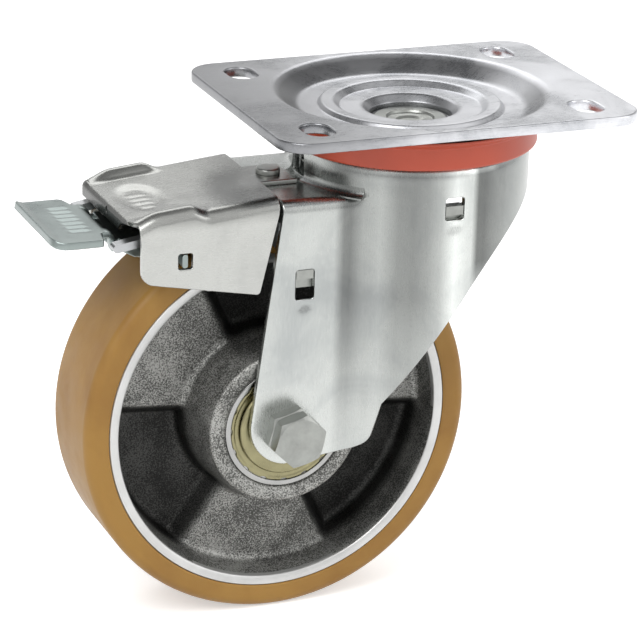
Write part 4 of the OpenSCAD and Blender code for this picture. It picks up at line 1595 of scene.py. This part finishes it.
@dataclass
class Wheel:
    """Cast wheel centre with a corrugated web, its tyre and the bearings' faces."""

    tyre_r: float = 75.0
    rim_r: float = 66.0
    half_rim: float = 20.0
    rim_in: float = 62.2
    rim_mid: float = 60.6
    hub_r: float = 29.5
    hub_root: float = 33.0
    half_hub: float = 26.5
    web: float = 6.0
    rise: float = 8.0
    sectors: int = 3
    first: float = 25.0
    bearing_r: float = 23.5
    seat_r: float = 19.0
    seat_z: float = 12.0
    fillet: float = 3.0
    lip: float = 19.5
    wall_slope: float = 7.2

    def web_level(self, r: Array, a: Array) -> Array:
        """Height of the web's near face above the middle plane, as seen from the near side.

        The sectors alternate between two levels. Across each edge between them the level is eased
        over a fixed width, so that the walls keep their slope from hub to rim.

        Args:
            r: distance from the axle.
            a: angle from +X towards +Z, in radians.

        Returns:
            The height.
        """
        pitch = math.pi / self.sectors
        phase = (a - math.radians(self.first) + pitch / 2) / (2 * pitch)
        w = phase - np.floor(phase)  # 0..0.5 raised, 0.5..1 sunk
        edge_a = np.where(w < 0.5, np.minimum(w, 0.5 - w), -np.minimum(w - 0.5, 1 - w)) * 2 * pitch
        dist = r * np.sin(edge_a)
        lift = smooth_step((dist + self.wall_slope / 2) / self.wall_slope)
        low, high = self.web - self.rise, self.rise
        return low + (high - low) * lift

    def face_profile(self, a: Array, side: float) -> Array:
        """Points of one side's surface from the rim's lip over the web to the bearing seat.

        At each angle the section is: lip, drafted rim wall, fillet, web, fillet, hub wall, hub face
        and bore. Only the web's level changes with the angle.

        Args:
            a: angles round the axle.
            side: +1 for the near side, -1 for the far side.

        Returns:
            Array (n, len(a), 2) of radius and height.
        """
        f = self.fillet
        q = np.linspace(0, math.pi / 2, 7)
        lip = np.array(
            [
                (self.rim_r - 0.02, self.lip - 0.1), (self.rim_r - 0.5, self.half_rim),
                (self.rim_in + 0.5, self.half_rim), (self.rim_in, self.lip),
            ]
        )
        rows = [np.broadcast_to(lip[:, None, :], (4, len(a), 2))]
        r_web = np.linspace(self.rim_mid - f, self.hub_root + f, 26)
        if side > 0:
            level = self.web_level(r_web[:, None], a[None, :])
        else:
            level = self.web - self.web_level(r_web[:, None], a[None, :])
        out, inn = level[0], level[-1]
        depth = np.linspace(0, 1, 6)[1:]
        wall_r = self.rim_in + (self.rim_mid - self.rim_in) * depth[:, None] + 0 * a
        wall_z = self.lip + (out + f - self.lip) * depth[:, None]
        rows.append(np.stack([wall_r, wall_z], axis=-1))
        fil_r = self.rim_mid - f * (1 - np.cos(q))[1:, None] + 0 * a
        fil_z = out[None] + f * (1 - np.sin(q))[1:, None]
        rows.append(np.stack([fil_r, fil_z], axis=-1))
        rows.append(np.stack([r_web[1:-1, None] + 0 * a, level[1:-1]], axis=-1))
        hub_r = self.hub_root + f * (1 - np.sin(q))[:, None] + 0 * a
        hub_z = inn[None] + f * (1 - np.cos(q))[:, None]
        rows.append(np.stack([hub_r, hub_z], axis=-1))
        up = np.linspace(0, 1, 6)[1:]
        hr = self.hub_root + (self.hub_r - self.hub_root) * up[:, None] + 0 * a
        hz = inn[None] + f + (self.half_hub - 1.6 - inn[None] - f) * up[:, None]
        rows.append(np.stack([hr, hz], axis=-1))
        head = np.array(
            [
                [self.hub_r - 0.4, self.half_hub - 0.5], [self.hub_r - 1.4, self.half_hub],
                [self.bearing_r + 0.5, self.half_hub], [self.bearing_r, self.half_hub - 0.5],
                [self.bearing_r, self.seat_z], [self.seat_r, self.seat_z], [self.seat_r, 0.0],
            ]
        )
        rows.append(np.broadcast_to(head[:, None, :], (len(head), len(a), 2)))
        return np.concatenate(rows, axis=0)

    def build(self) -> None:
        """Makes the wheel centre, the tyre, the bearings and the shields."""
        self.build_centre()
        self.build_tyre()
        self.build_bearing("near", Axis.AXLE_NEAR)
        self.build_bearing("far", Axis.AXLE_FAR)

    def build_centre(self) -> None:
        """Cast centre; its rim's turned faces have their own finish."""
        shell = Shell()
        a = full_turn(360)
        for side, axis in ((1.0, Axis.AXLE_NEAR), (-1.0, Axis.AXLE_FAR)):
            pts = revolve(self.face_profile(a, side), a)
            shell.grid(PLACE.put(pts, axis), close_v=True, flip=side < 0)
        edge = self.lip - 0.1
        rim = np.array([(self.rim_r - 0.02, edge), (self.rim_r - 0.02, -edge)])
        turned(shell, rim, Axis.AXLE_NEAR, 360, closed=False)
        obj = install(
            shell,
            "wheel_casting",
            "wheel",
            ["wheel_centre"],
            "cast_aluminium",
            Finish.CAST,
            Finish.RIM,
            sharp=50,
        )
        data = obj.data
        centres = np.empty(len(data.polygons) * 3)
        data.polygons.foreach_get("center", centres)
        centres = centres.reshape(-1, 3) / MM
        r = np.hypot(centres[:, 0] - PLACE.axle_x, centres[:, 2] - PLACE.axle_z)
        y = np.abs(centres[:, 1])
        ring = (r > self.rim_in - 0.2) & (y > 18.6)
        data.polygons.foreach_set("material_index", ring.astype(np.int32))

    def build_tyre(self) -> None:
        """Tyre with round shoulders and a slight step where it meets the rim."""
        shell = Shell()
        w = self.half_rim
        profile = round_corners(
            [
                (self.rim_r, -w + 0.2, 0.2), (self.rim_r + 1.0, -w, 0.8), (self.tyre_r, -w, 6.0),
                (self.tyre_r, w, 6.0), (self.rim_r + 1.0, w, 0.8), (self.rim_r, w - 0.2, 0.2),
            ],
            steps=10,
        )
        turned(shell, profile, Axis.AXLE_NEAR, 240)
        install(shell, "tyre_casting", "wheel", ["tyre"], "polyurethane", Finish.TYRE)

    def build_bearing(self, side: str, axis: Axis) -> None:
        """Outer ring with a rounded rim, the yellow shield and the dust flange of one side.

        Args:
            side: "near" or "far".
            axis: the axle, seen from that side.
        """
        ring = Shell()
        race = round_corners(
            [
                (19.8, 12, 0.3), (23.45, 12, 0.7), (23.45, 26, 0.7), (21.2, 26, 0.3), (21.2, 25, 0),
                (19.8, 25, 0.3),
            ],
            steps=4,
        )
        turned(ring, race, axis, 128)
        install(ring, f"{side}_race", "wheel", [f"{side}_outer_ring"], "bearing_steel", Finish.BEARING)
        shield = Shell()
        a = full_turn(192)
        notch = 0.49 * (np.cos(16 * a) > 0.86)
        base = round_corners(
            [
                (14.4, 25.0, 0.1), (21.05, 25.0, 0.1), (21.05, 25.7, 0.2), (20.2, 25.75, 0.3),
                (19.6, 25.5, 0.3), (15.4, 25.5, 0.3), (14.4, 25.3, 0.1),
            ],
            steps=3,
        )
        r = base[:, 0:1] - np.where(base[:, 0:1] > 20.5, notch, 0.0)
        pts = revolve(np.stack([r, base[:, 1:2] + 0 * a], axis=-1), a)
        shield.grid(PLACE.put(pts, axis), close_u=True, close_v=True)
        install(
            shield, f"{side}_shield_pressing", "wheel", [f"{side}_shield"], "yellow_zinc", Finish.YELLOW
        )
        flange = Shell()
        section = round_corners(
            [
                (10.1, 26.0, 0.1), (13.2, 26.0, 0.2), (14.1, 26.45, 0.3), (16.6, 26.4, 0.4),
                (17.7, 26.1, 0.2), (18.0, 26.5, 0.2), (17.4, 27.3, 0.3), (16.0, 27.4, 0.3),
                (14.4, 27.3, 0.3), (13.0, 28.0, 0.2), (10.1, 28.0, 0.1),
            ],
            steps=3,
        )
        turned(flange, section, axis, 96)
        install(
            flange, f"{side}_dust_pressing", "fork", [f"{side}_dust_flange"], "yellow_zinc", Finish.YELLOW
        )


# Axle hardware


@dataclass
class AxleHardware:
    """Bolt, nuts and washer on the wheel's axle."""

    flats: float = 18.0
    first: float = 16.0
    bore: float = 6.1
    turned_share: float = 0.96
    chamfer: float = 30.0

    def hexagon(
        self,
        shell: Shell,
        axis: Axis,
        z0: float,
        z1: float,
        flats: float,
        low: bool,
        bore: float,
    ) -> None:
        """Adds a hexagonal prism whose corners are turned to 30 degrees at its outer face, or at both.

        The side's radius at angle a is (flats / 2) / cos(a - nearest flat). The chamfer lowers a
        face's height by tan 30 times the distance past the turned circle.

        Args:
            shell: where it is added.
            axis: the axle, seen from its side.
            z0: height of the inner face along the axle.
            z1: height of the outer face.
            flats: width across the flats.
            low: whether the inner face is chamfered too.
            bore: radius of the hole, or 0.
        """
        a = full_turn(144)
        turn = math.radians(self.first if axis is Axis.AXLE_NEAR else 180 - self.first)
        off = (a - turn) % (math.pi / 3) - math.pi / 6
        side = flats / 2 / np.cos(off)
        face = flats / 2 * self.turned_share
        drop = np.maximum(side - face, 0) * math.tan(math.radians(self.chamfer))
        shares = (bore / face if bore > 0 else 0.0, 0.5, 0.97, 1.0)
        steps = np.linspace(0, 1, 4)[1:]
        rows = [(face * share + 0 * a, z1 + 0 * a) for share in shares]
        rows += [(face + (side - face) * s, z1 - drop * s) for s in steps]
        rows += [(face + (side - face) * s, z0 + (drop * s if low else 0 * a)) for s in steps[::-1]]
        rows += [(face * share + 0 * a, z0 + 0 * a) for share in shares[::-1]]
        pts = revolve(np.stack([np.stack([r, z], axis=-1) for r, z in rows]), a)
        shell.grid(PLACE.put(pts, axis), close_u=bore > 0, close_v=True)

    def build(self) -> None:
        """Makes the four pieces."""
        near, far, bore = Axis.AXLE_NEAR, Axis.AXLE_FAR, self.bore
        bolt = Shell()
        self.hexagon(bolt, near, 36.0, 42.5, self.flats, True, 0.0)
        shank = round_corners(
            [(0, -49.5, 0), (5.2, -49.5, 0.2), (6.0, -48.4, 0.2), (6.0, 36.4, 0), (0, 36.4, 0)],
            closed=False,
            steps=3,
        )
        turned(bolt, shank, near, 64, closed=False)
        install(bolt, "bolt_turned", "fork", ["axle_bolt"], "zinc_hardware", Finish.HARDWARE, sharp=25)
        thin = Shell()
        self.hexagon(thin, near, 31.0, 35.9, self.flats + 0.3, False, bore)
        install(
            thin, "thin_nut_turned", "fork", ["axle_thin_nut"], "zinc_hardware", Finish.HARDWARE, sharp=25
        )
        nut = Shell()
        self.hexagon(nut, far, 33.5, 41.0, self.flats, True, bore)
        collar = round_corners(
            [(bore, 40.8, 0), (8.2, 40.8, 0), (7.6, 43.5, 0.6), (bore, 43.5, 0.2)], steps=4
        )
        turned(nut, collar, far, 64)
        install(nut, "nut_turned", "fork", ["axle_nut"], "zinc_hardware", Finish.HARDWARE, sharp=25)
        washer = Shell()
        ring = round_corners(
            [(bore, 31, 0.2), (12, 31, 0.4), (12, 33.5, 0.5), (bore, 33.5, 0.3)], steps=3
        )
        turned(washer, ring, far, 72)
        install(washer, "washer_pressing", "fork", ["axle_washer"], "zinc_hardware", Finish.HARDWARE)


# Brake


@dataclass
class BrakeCover:
    """Folded sheet over the brake: a sloping top with two raised edges, two sides and a tongue.

    A shallow oval pad with a row of plain bars is pressed into the top, and each side has a window.
    """

    half: float = 31.0
    sheet: float = 2.0
    corner: float = 4.5
    back_z: float = -27.05
    slope: float = 0.105
    slope_x: float = -62.0
    raised: float = 3.0
    pad_at: tuple[float, float] = (-105.5, -1.0)
    pad_half: tuple[float, float] = (8.5, 16.0)
    pad_depth: float = 0.8
    bar_height: float = 0.35
    window: tuple[tuple[float, float], tuple[float, float]] = ((-101.0, -50.0), (-95.6, -44.2))
    nose: float = -118.15
    apron_sheet: float = 1.9
    apron_corner: float = 4.0
    fold: float = 2.0

    def centre_z(self, x: Array) -> Array:
        """Height of the top's middle: level on the tongue, then one slope to the front."""
        return self.back_z - np.maximum(self.slope_x - x, 0.0) * self.slope

    def edge_z(self, x: Array) -> Array:
        """Height of the top's long edges, which rise past the lever's pins and bow down to the front.

        Args:
            x: place along the brake.

        Returns:
            The height.
        """
        bow = 0.95 * smooth_step((-107.5 - x) / 11.0)
        lift = self.raised * smooth_step((-88.5 - x) / 7.5) * (1 - bow)
        return self.centre_z(x) + lift

    def top_z(self, x: Array, y: Array) -> Array:
        """Height of the top sheet: the middle's slope, eased up to the raised edges.

        Args:
            x: place along the brake.
            y: place across it.

        Returns:
            The height.
        """
        share = smooth_step((np.abs(y) - 21.8) / 4.0)
        z = self.centre_z(x) * (1 - share) + self.edge_z(x) * share
        (px, py), (rx, ry) = self.pad_at, self.pad_half
        oval = 1 - np.sqrt(((x - px) / rx) ** 2 + ((y - py) / ry) ** 2)
        bars = stamp(x, y - py, px - 4.0, px + 3.5, 9.4, 0.9)
        return z - self.pad_depth * smooth_step(oval / 0.32) + self.bar_height * bars

    def place(self, s: Array, t: Array) -> tuple[Array, Array]:
        """Folds the sheet: s is X and t runs across the top, round the corner and down a side.

        Args:
            s: place along the brake, as X.
            t: distance from the middle across the sheet, negative on the near side.

        Returns:
            Points and outward normals.
        """
        return with_normals(self.surface, s, t)

    def surface(self, u: Array, v: Array) -> Array:
        """The folded outer face.

        Args:
            u: place along the brake, as X.
            v: distance from the middle across the sheet.

        Returns:
            Points (..., 3).
        """
        sign = np.where(v < 0, -1.0, 1.0)
        down, y, _ = folded(np.abs(v), self.corner, self.half)
        z = self.top_z(u, np.minimum(np.abs(v), self.half - self.corner) * sign) - down
        return np.stack([u, y * sign, z], axis=-1)

    def side_to_sheet(self, xz: Array) -> Array:
        """Turns side-view points on the near side plate into sheet coordinates.

        Args:
            xz: side-view points (n, 2).

        Returns:
            Sheet points (n, 2).
        """
        down = self.edge_z(xz[:, 0]) - self.corner - xz[:, 1]
        bend = self.half - self.corner + self.corner * math.pi / 2
        return np.column_stack([xz[:, 0], -(bend + down)])

    def build(self) -> None:
        """Makes the cover and the rivet that holds it."""
        low = round_corners(
            [(-62.9, -33.0, 0), (-69.9, -62.8, 1.6), (-114.8, -54.2, 5.5), (-114.8, -39.0, 0)],
            closed=False,
            steps=6,
        )
        near = self.side_to_sheet(resample(low, 2.5, closed=False))
        top_back = np.array([[-62.3, -22.0], [-62.3, -10.0], [-48.5, -10.0]])
        front = np.array([[-115.6, -29.0], [-116.6, -26.0], [-117.0, -22.0], [-117.0, -10.0]])
        half_loop = np.vstack([resample(top_back[::-1], 2.5, False), near, front])
        mirror = np.array([1.0, -1.0])
        outline = np.vstack([half_loop, half_loop[::-1] * mirror])
        window = self.side_to_sheet(rounded_box(*self.window, 0.8, 3))
        rivet = circle((PLACE.rivet_x, 0.0), PLACE.rivet_hole, 32)
        shell = Shell()
        loops = [outline, window, window * mirror, rivet]
        pressed_sheet(shell, loops, self.place, self.sheet, edge=0.45, spacing=2.0, grid=1.5)
        self.apron(shell)
        install(shell, "cover_pressing", "fork", ["brake_cover"], "zinc_sheet", Finish.COVER, sharp=40)
        head = Shell()
        profile = round_corners(
            [
                (0, -24.9, 0), (4.4, -24.9, 0.7), (4.5, -27.0, 0.1), (2.6, -27.0, 0), (2.6, -35.0, 0),
                (3.9, -35.0, 0), (0, -35.0, 0),
            ],
            closed=False,
            steps=6,
        )
        head.grid(revolve(profile, full_turn(64)) + np.array([PLACE.rivet_x, 0.0, 0.0]), close_v=True)
        install(head, "rivet_headed", "fork", ["cover_rivet"], "zinc_hardware", Finish.HARDWARE)

    def apron(self, shell: Shell) -> None:
        """Adds the front fold: an upright strip below the top's edge, with a slit, round the far corner.

        Distance s runs along the strip's plan, straight along Y and then round a quarter circle into
        the far side. Height t runs up the strip and then round the fold on to the top.

        Args:
            shell: where it is added.
        """
        corner = self.apron_corner
        straight = self.half - corner
        wider = 2.0  # mm that the fold's radius grows by round the corner
        seam_x, seam_y, sink = -116.4, 27.0, 0.02  # where the top's height is taken, and how far below

        def place(s: Array, t: Array) -> tuple[Array, Array]:
            """Stands the strip on its plan and folds its upper edge back.

            Args:
                s: distance along the plan.
                t: height, above the fold as arc length.

            Returns:
                Points and outward normals.
            """
            turn = np.clip((s - straight) / corner, 0, math.pi / 2)
            rest = np.maximum(s - straight - corner * math.pi / 2, 0)
            x = self.nose + corner * (1 - np.cos(turn)) + rest
            y = np.minimum(s, straight) + corner * np.sin(turn)
            n = np.stack([-np.cos(turn), np.sin(turn)], axis=-1)
            r = self.fold + wider * np.sin(turn)
            top = self.top_z(np.full_like(s, seam_x), np.minimum(s, seam_y)) - sink
            bow = np.clip((t - (top - r)) / r, 0, math.pi / 2)
            z = np.minimum(t, top - r) + r * np.sin(bow)
            back = r * (1 - np.cos(bow))
            pts = np.stack(
                [x - n[..., 0] * back, y - n[..., 1] * back - 2 * sink * np.sin(turn), z], axis=-1
            )
            nn = np.stack([n[..., 0] * np.cos(bow), n[..., 1] * np.cos(bow), np.sin(bow)], axis=-1)
            return pts, nn

        low = -38.4
        end = straight + corner * math.pi / 2 + 0.8
        outline = round_corners(
            [
                (end, low, 0.2), (end, -31.4, 0.1), (straight, -31.6, 0.1), (-22.0, -31.8, 0.3),
                (-24.0, -33.6, 0.8), (-17.0, -35.6, 3.0), (-14.5, low, 1.0),
            ],
            steps=5,
        )
        slit = rounded_box((-1.5, -36.2), (-0.3, -33.9), 0.5, 3)
        pressed_sheet(shell, [outline, slit], place, self.apron_sheet, edge=0.35, spacing=1.2, grid=1.0)


@dataclass
class BrakePedal:
    """Foot pedal: a stamped pad with a lip, a narrow neck, two cheeks with cams and two lugs.

    cheeks are the Y of the cheeks' faces on the far side of each, and lug the distances of a lug's
    start, middle and end from the pedal's middle.
    """

    sheet: float = 2.8
    half: float = 25.0
    top: float = -38.0
    lip: float = 1.0
    dip: float = 4.6
    tick: float = 0.45
    cheeks: tuple[float, float] = (-18.4, 21.2)
    lug: tuple[float, float, float] = (18.6, 25.0, 30.9)
    finger_y: float = 14.6

    def height(self, x: Array, y: Array) -> Array:
        """Height of the pedal's top face.

        The pad is level, its far end turns up, the neck dips under the cover's front, and a row of
        plain ticks is stamped across it.

        Args:
            x: place along the pedal.
            y: place across it.

        Returns:
            The height.
        """
        lip = self.lip * smooth_step((-141.6 - x) / 3.2)
        dip = self.dip * smooth_step((x + 123.6) / 5.4)
        return self.top + lip - dip - self.tick * stamp(x, y, -136.0, -128.5, 15.4, 0.7, 1.0)

    def place(self, s: Array, t: Array) -> tuple[Array, Array]:
        """Puts sheet point (s, t) at its height.

        Args:
            s: place along the pedal, as X.
            t: place across it, as Y.

        Returns:
            Points and normals.
        """
        return with_normals(lambda u, v: np.stack([u, v, self.height(u, v)], axis=-1), s, t)

    def build(self) -> None:
        """Makes the pedal as one object."""
        shell = Shell()
        half = self.half
        plan = round_corners(
            [
                (-144.9, -half, 6.5), (-126.6, -half, 1.0), (-125.8, -20.5, 0.6), (-125.2, -17.0, 0.8),
                (-122.4, -17.0, 0.4), (-122.0, -12.0, 0.4), (-117.0, -12.0, 0.4), (-116.4, -20.5, 0.4),
                (-96, -20.5, 0.5), (-96, 20.5, 0.5), (-116.4, 20.5, 0.4), (-117.0, 12.0, 0.4),
                (-122.0, 12.0, 0.4), (-122.4, 17.0, 0.4), (-125.4, 17.0, 0.8), (-127.2, 23.9, 1.0),
                (-128.8, half, 0.8), (-144.9, half, 2.0),
            ],
            steps=4,
        )
        pressed_sheet(shell, [plan], self.place, self.sheet, edge=0.5, spacing=1.5, grid=1.1)
        self.fingers(shell)
        side = round_corners(
            [
                (-121.0, -40.0, 0.5), (-119.6, -44.0, 2.0), (-114.0, -47.0, 1.0), (-110.6, -47.0, 1.0),
                (-109.0, -51.0, 2.4), (-105.4, -52.2, 2.4), (-102.0, -50.6, 1.0), (-100.5, -50.6, 1.0),
                (-94.0, -50.6, 1.0), (-94.0, -43.4, 0.5), (-118.0, -43.4, 0.5),
            ],
            steps=4,
        )
        bar = rounded_box((-99.5, -49.5), (-97.5, -44.5), 0.9, 4)
        for sign, face in zip((-1.0, 1.0), self.cheeks):

            def place(s: Array, t: Array, y: float = face) -> tuple[Array, Array]:
                """Stands the sheet upright at a cheek."""
                zero = np.zeros_like(s)
                return np.stack([s, zero + y, t], axis=-1), np.stack([zero, zero + 1.0, zero], axis=-1)

            pressed_sheet(shell, [side[::-1]], place, self.sheet, edge=0.4, spacing=2.0)
            swept(shell, bar, np.array([(0.0, y, 0.0) for y in sorted(sign * y for y in self.lug)]))
        install(shell, "pedal_pressing", "pedal", ["brake_pedal"], "zinc_sheet", Finish.PEDAL, sharp=40)

    def fingers(self, shell: Shell) -> None:
        """Adds the two strips beside the neck, bent down over the ends of the brake lever.

        Each is a rounded bar section carried along one bent line in X and Z.

        Args:
            shell: where they are added.
        """
        line = round_corners(
            [(-124.6, -39.3, 0), (-121.6, -39.1, 2.4), (-119.9, -45.2, 0)], closed=False, steps=8
        )
        section = rounded_box((-2.5, -1.2), (2.5, 1.2), 0.5, 3)
        for sign in (-1.0, 1.0):
            path = np.column_stack([line[:, 0], np.full(len(line), sign * self.finger_y), line[:, 1]])
            swept(shell, section, resample_path(path, 0.8))


# Studio


def stand(
    right: Sequence[float],
    up: Sequence[float],
    back: Sequence[float],
    at: Sequence[float],
) -> Matrix:
    """Matrix whose columns are three directions and a place.

    Args:
        right: the object's X.
        up: its Y.
        back: its Z.
        at: where it stands, in metres.

    Returns:
        The matrix.
    """
    return Matrix([(*row,) for row in zip(right, up, back, at)] + [(0.0, 0.0, 0.0, 1.0)])


@dataclass(frozen=True)
class Lamp:
    """A soft rectangular lamp: where it stands, its width and height in metres, and its watts."""

    name: str
    at: tuple[float, float, float]
    size: tuple[float, float]
    power: float

    def build(self, aim: Sequence[float]) -> None:
        """Makes the lamp.

        Args:
            aim: what it points at, in metres.
        """
        data = bpy.data.lights.new(self.name, "AREA")
        data.shape = "RECTANGLE"
        data.size, data.size_y = self.size
        data.energy = self.power
        obj = bpy.data.objects.new(self.name, data)
        bpy.context.scene.collection.objects.link(obj)
        back = np.asarray(self.at, float) - np.asarray(aim, float)
        back /= np.linalg.norm(back)
        side = np.cross([0.0, 0.0, 1.0], back)
        side /= np.linalg.norm(side)
        obj.matrix_world = stand(side, np.cross(back, side), back, self.at)


@dataclass
class Studio:
    """Pale floor, soft lamps, a plain world and the camera of the photograph.

    The skies' stops are the direction's height and the tone there.
    """

    camera_at: tuple[float, float, float] = (-0.4527, -1.0280, 0.3163)
    azimuth: float = -22.17
    elevation: float = 19.96
    roll: float = 1.56
    focal_px: float = 3157.0
    picture_px: float = 640.0
    sensor: float = 36.0
    floor_z: float = -0.192
    floor_half: float = 4.0
    floor_white: float = 0.45
    aim: tuple[float, float, float] = (0.0, 0.0, -0.08)
    lamps: tuple[Lamp, ...] = (
        Lamp("key_lamp", (-0.9, -0.7, 1.1), (0.9, 0.9), 11.0),
        Lamp("fill_lamp", (1.1, -0.9, 0.5), (0.8, 1.2), 4.0),
        Lamp("back_lamp", (0.2, 1.1, 0.9), (1.4, 0.7), 6.0),
    )
    sky_behind: Stops = ((0.0, 0.95), (0.26, 0.85), (0.34, 0.6), (0.42, 0.42), (0.6, 0.32), (0.95, 0.3))
    sky_front: Stops = ((0.0, 0.75), (0.15, 0.9), (0.3, 1.0), (0.93, 1.0), (0.98, 0.55), (1.0, 0.35))

    def camera(self) -> None:
        """Stands the camera where the photograph was taken from.

        The view's back direction is (sin az cos el, -cos az cos el, sin el), and the picture is
        rolled about it. The lens is the focal length in pixels over the picture's, times the sensor.
        """
        data = bpy.data.cameras.new("photo_camera")
        cam = bpy.data.objects.new("photo_camera", data)
        bpy.context.scene.collection.objects.link(cam)
        az, el, roll = (math.radians(v) for v in (self.azimuth, self.elevation, self.roll))
        back = np.array([math.sin(az) * math.cos(el), -math.cos(az) * math.cos(el), math.sin(el)])
        right = np.array([math.cos(az), math.sin(az), 0.0])
        up = np.cross(back, right)
        right2 = right * math.cos(roll) + up * math.sin(roll)
        up2 = -right * math.sin(roll) + up * math.cos(roll)
        cam.matrix_world = stand(right2, up2, back, self.camera_at)
        data.sensor_width = self.sensor
        data.lens = self.focal_px / self.picture_px * self.sensor
        data.clip_start, data.clip_end = 0.05, 20.0
        bpy.context.scene.camera = cam

    def floor(self) -> None:
        """Lays the pale floor, white to the camera and in the metal, with the castor's shadow on it."""
        half = self.floor_half
        data = bpy.data.meshes.new("studio_floor")
        z = self.floor_z - 0.0002  # a hair below the tyre, so that the two don't share a place
        corners = [(-half, -half, z), (half, -half, z), (half, half, z), (-half, half, z)]
        data.from_pydata(corners, [], [(0, 1, 2, 3)])
        obj = bpy.data.objects.new("studio_floor", data)
        bpy.context.scene.collection.objects.link(obj)
        n = Nodes("pale_floor")
        rays = n.tree.nodes.new("ShaderNodeLightPath")
        seen = n.maths("MAXIMUM", rays.outputs["Is Camera Ray"], rays.outputs["Is Glossy Ray"])
        seen = n.maths("MAXIMUM", seen, rays.outputs["Is Transmission Ray"])
        n.set(
            Base_Color=(0.86, 0.86, 0.86),
            Roughness=0.9,
            Emission_Color=(1.0, 1.0, 1.0),
            Specular_IOR_Level=0.0,
        )
        n.link(n.maths("MULTIPLY", seen, self.floor_white), n.shader.inputs["Emission Strength"])
        obj.data.materials.append(n.material)

    def world(self) -> None:
        """Plain surroundings: a pale horizon, a bright side towards the camera and a darker sky behind.

        The share of the bright side follows the direction's Y, and each side's tone its height.
        """
        world = bpy.data.worlds.new("studio")
        bpy.context.scene.world = world
        world.use_nodes = True
        tree = world.node_tree
        background = tree.nodes["Background"]
        coords = tree.nodes.new("ShaderNodeTexCoord")
        split = tree.nodes.new("ShaderNodeSeparateXYZ")
        tree.links.new(coords.outputs["Generated"], split.inputs["Vector"])
        tones = []
        for stops in (self.sky_behind, self.sky_front):
            ramp = tree.nodes.new("ShaderNodeValToRGB")
            fill_ramp(ramp.color_ramp, [(place, (tone,) * 3) for place, tone in stops])
            tree.links.new(split.outputs["Z"], ramp.inputs["Fac"])
            tones.append(ramp.outputs["Color"])
        side = tree.nodes.new("ShaderNodeMapRange")
        side.inputs["From Min"].default_value = 0.25
        side.inputs["From Max"].default_value = -0.25
        tree.links.new(split.outputs["Y"], side.inputs["Value"])
        both = tree.nodes.new("ShaderNodeMix")
        both.data_type = "RGBA"
        tree.links.new(side.outputs["Result"], both.inputs[0])
        tree.links.new(tones[0], both.inputs[6])
        tree.links.new(tones[1], both.inputs[7])
        rays = tree.nodes.new("ShaderNodeLightPath")
        white = tree.nodes.new("ShaderNodeMix")
        white.data_type = "RGBA"
        tree.links.new(rays.outputs["Is Camera Ray"], white.inputs[0])
        tree.links.new(both.outputs[2], white.inputs[6])
        white.inputs[7].default_value = WHITE
        tree.links.new(white.outputs[2], background.inputs["Color"])
        background.inputs["Strength"].default_value = 1.0

    def build(self) -> None:
        """Sets the whole studio."""
        bpy.context.scene.view_settings.view_transform = "Standard"
        self.camera()
        self.floor()
        self.world()
        for lamp in self.lamps:
            lamp.build(self.aim)


# Assembly


@dataclass
class Castor:
    """The whole castor: new pieces over the frame, and finishes for the nodes that stay."""

    kept: dict[str, Finish] = field(
        default_factory=lambda: {
            "lower_cup": Finish.STEEL,
            "upper_balls": Finish.BEARING,
            "lower_balls": Finish.BEARING,
            "brake_bracket": Finish.HARDWARE,
            "lever_pins": Finish.HARDWARE,
            "axle_tube": Finish.HARDWARE,
            "bearing_spacer": Finish.HARDWARE,
            "near_inner_ring": Finish.BEARING,
            "far_inner_ring": Finish.BEARING,
            "near_bearing_balls": Finish.BEARING,
            "far_bearing_balls": Finish.BEARING,
            "brake_lever": Finish.STEEL,
        }
    )

    def build(self, nodes: dict[str, bpy.types.Object]) -> None:
        """Builds every sub-assembly.

        Args:
            nodes: the frame's CAD objects by name.
        """
        for name, finish in self.kept.items():
            if name in nodes:
                dress(nodes[name], finish)
                LOG.info("%s keeps its solid and gets %s", name, finish.value.name)
        SwivelHead().build()
        Fork().build()
        Wheel().build()
        AxleHardware().build()
        BrakeCover().build()
        BrakePedal().build()


def main() -> None:
    """Loads the frame and builds the castor and the studio."""
    logging.basicConfig(level=logging.INFO, format="%(name)s: %(message)s")
    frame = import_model()
    Castor().build(frame["nodes"])
    Studio().build()
    bpy.context.view_layer.update()


if __name__ == "__main__":
    main()
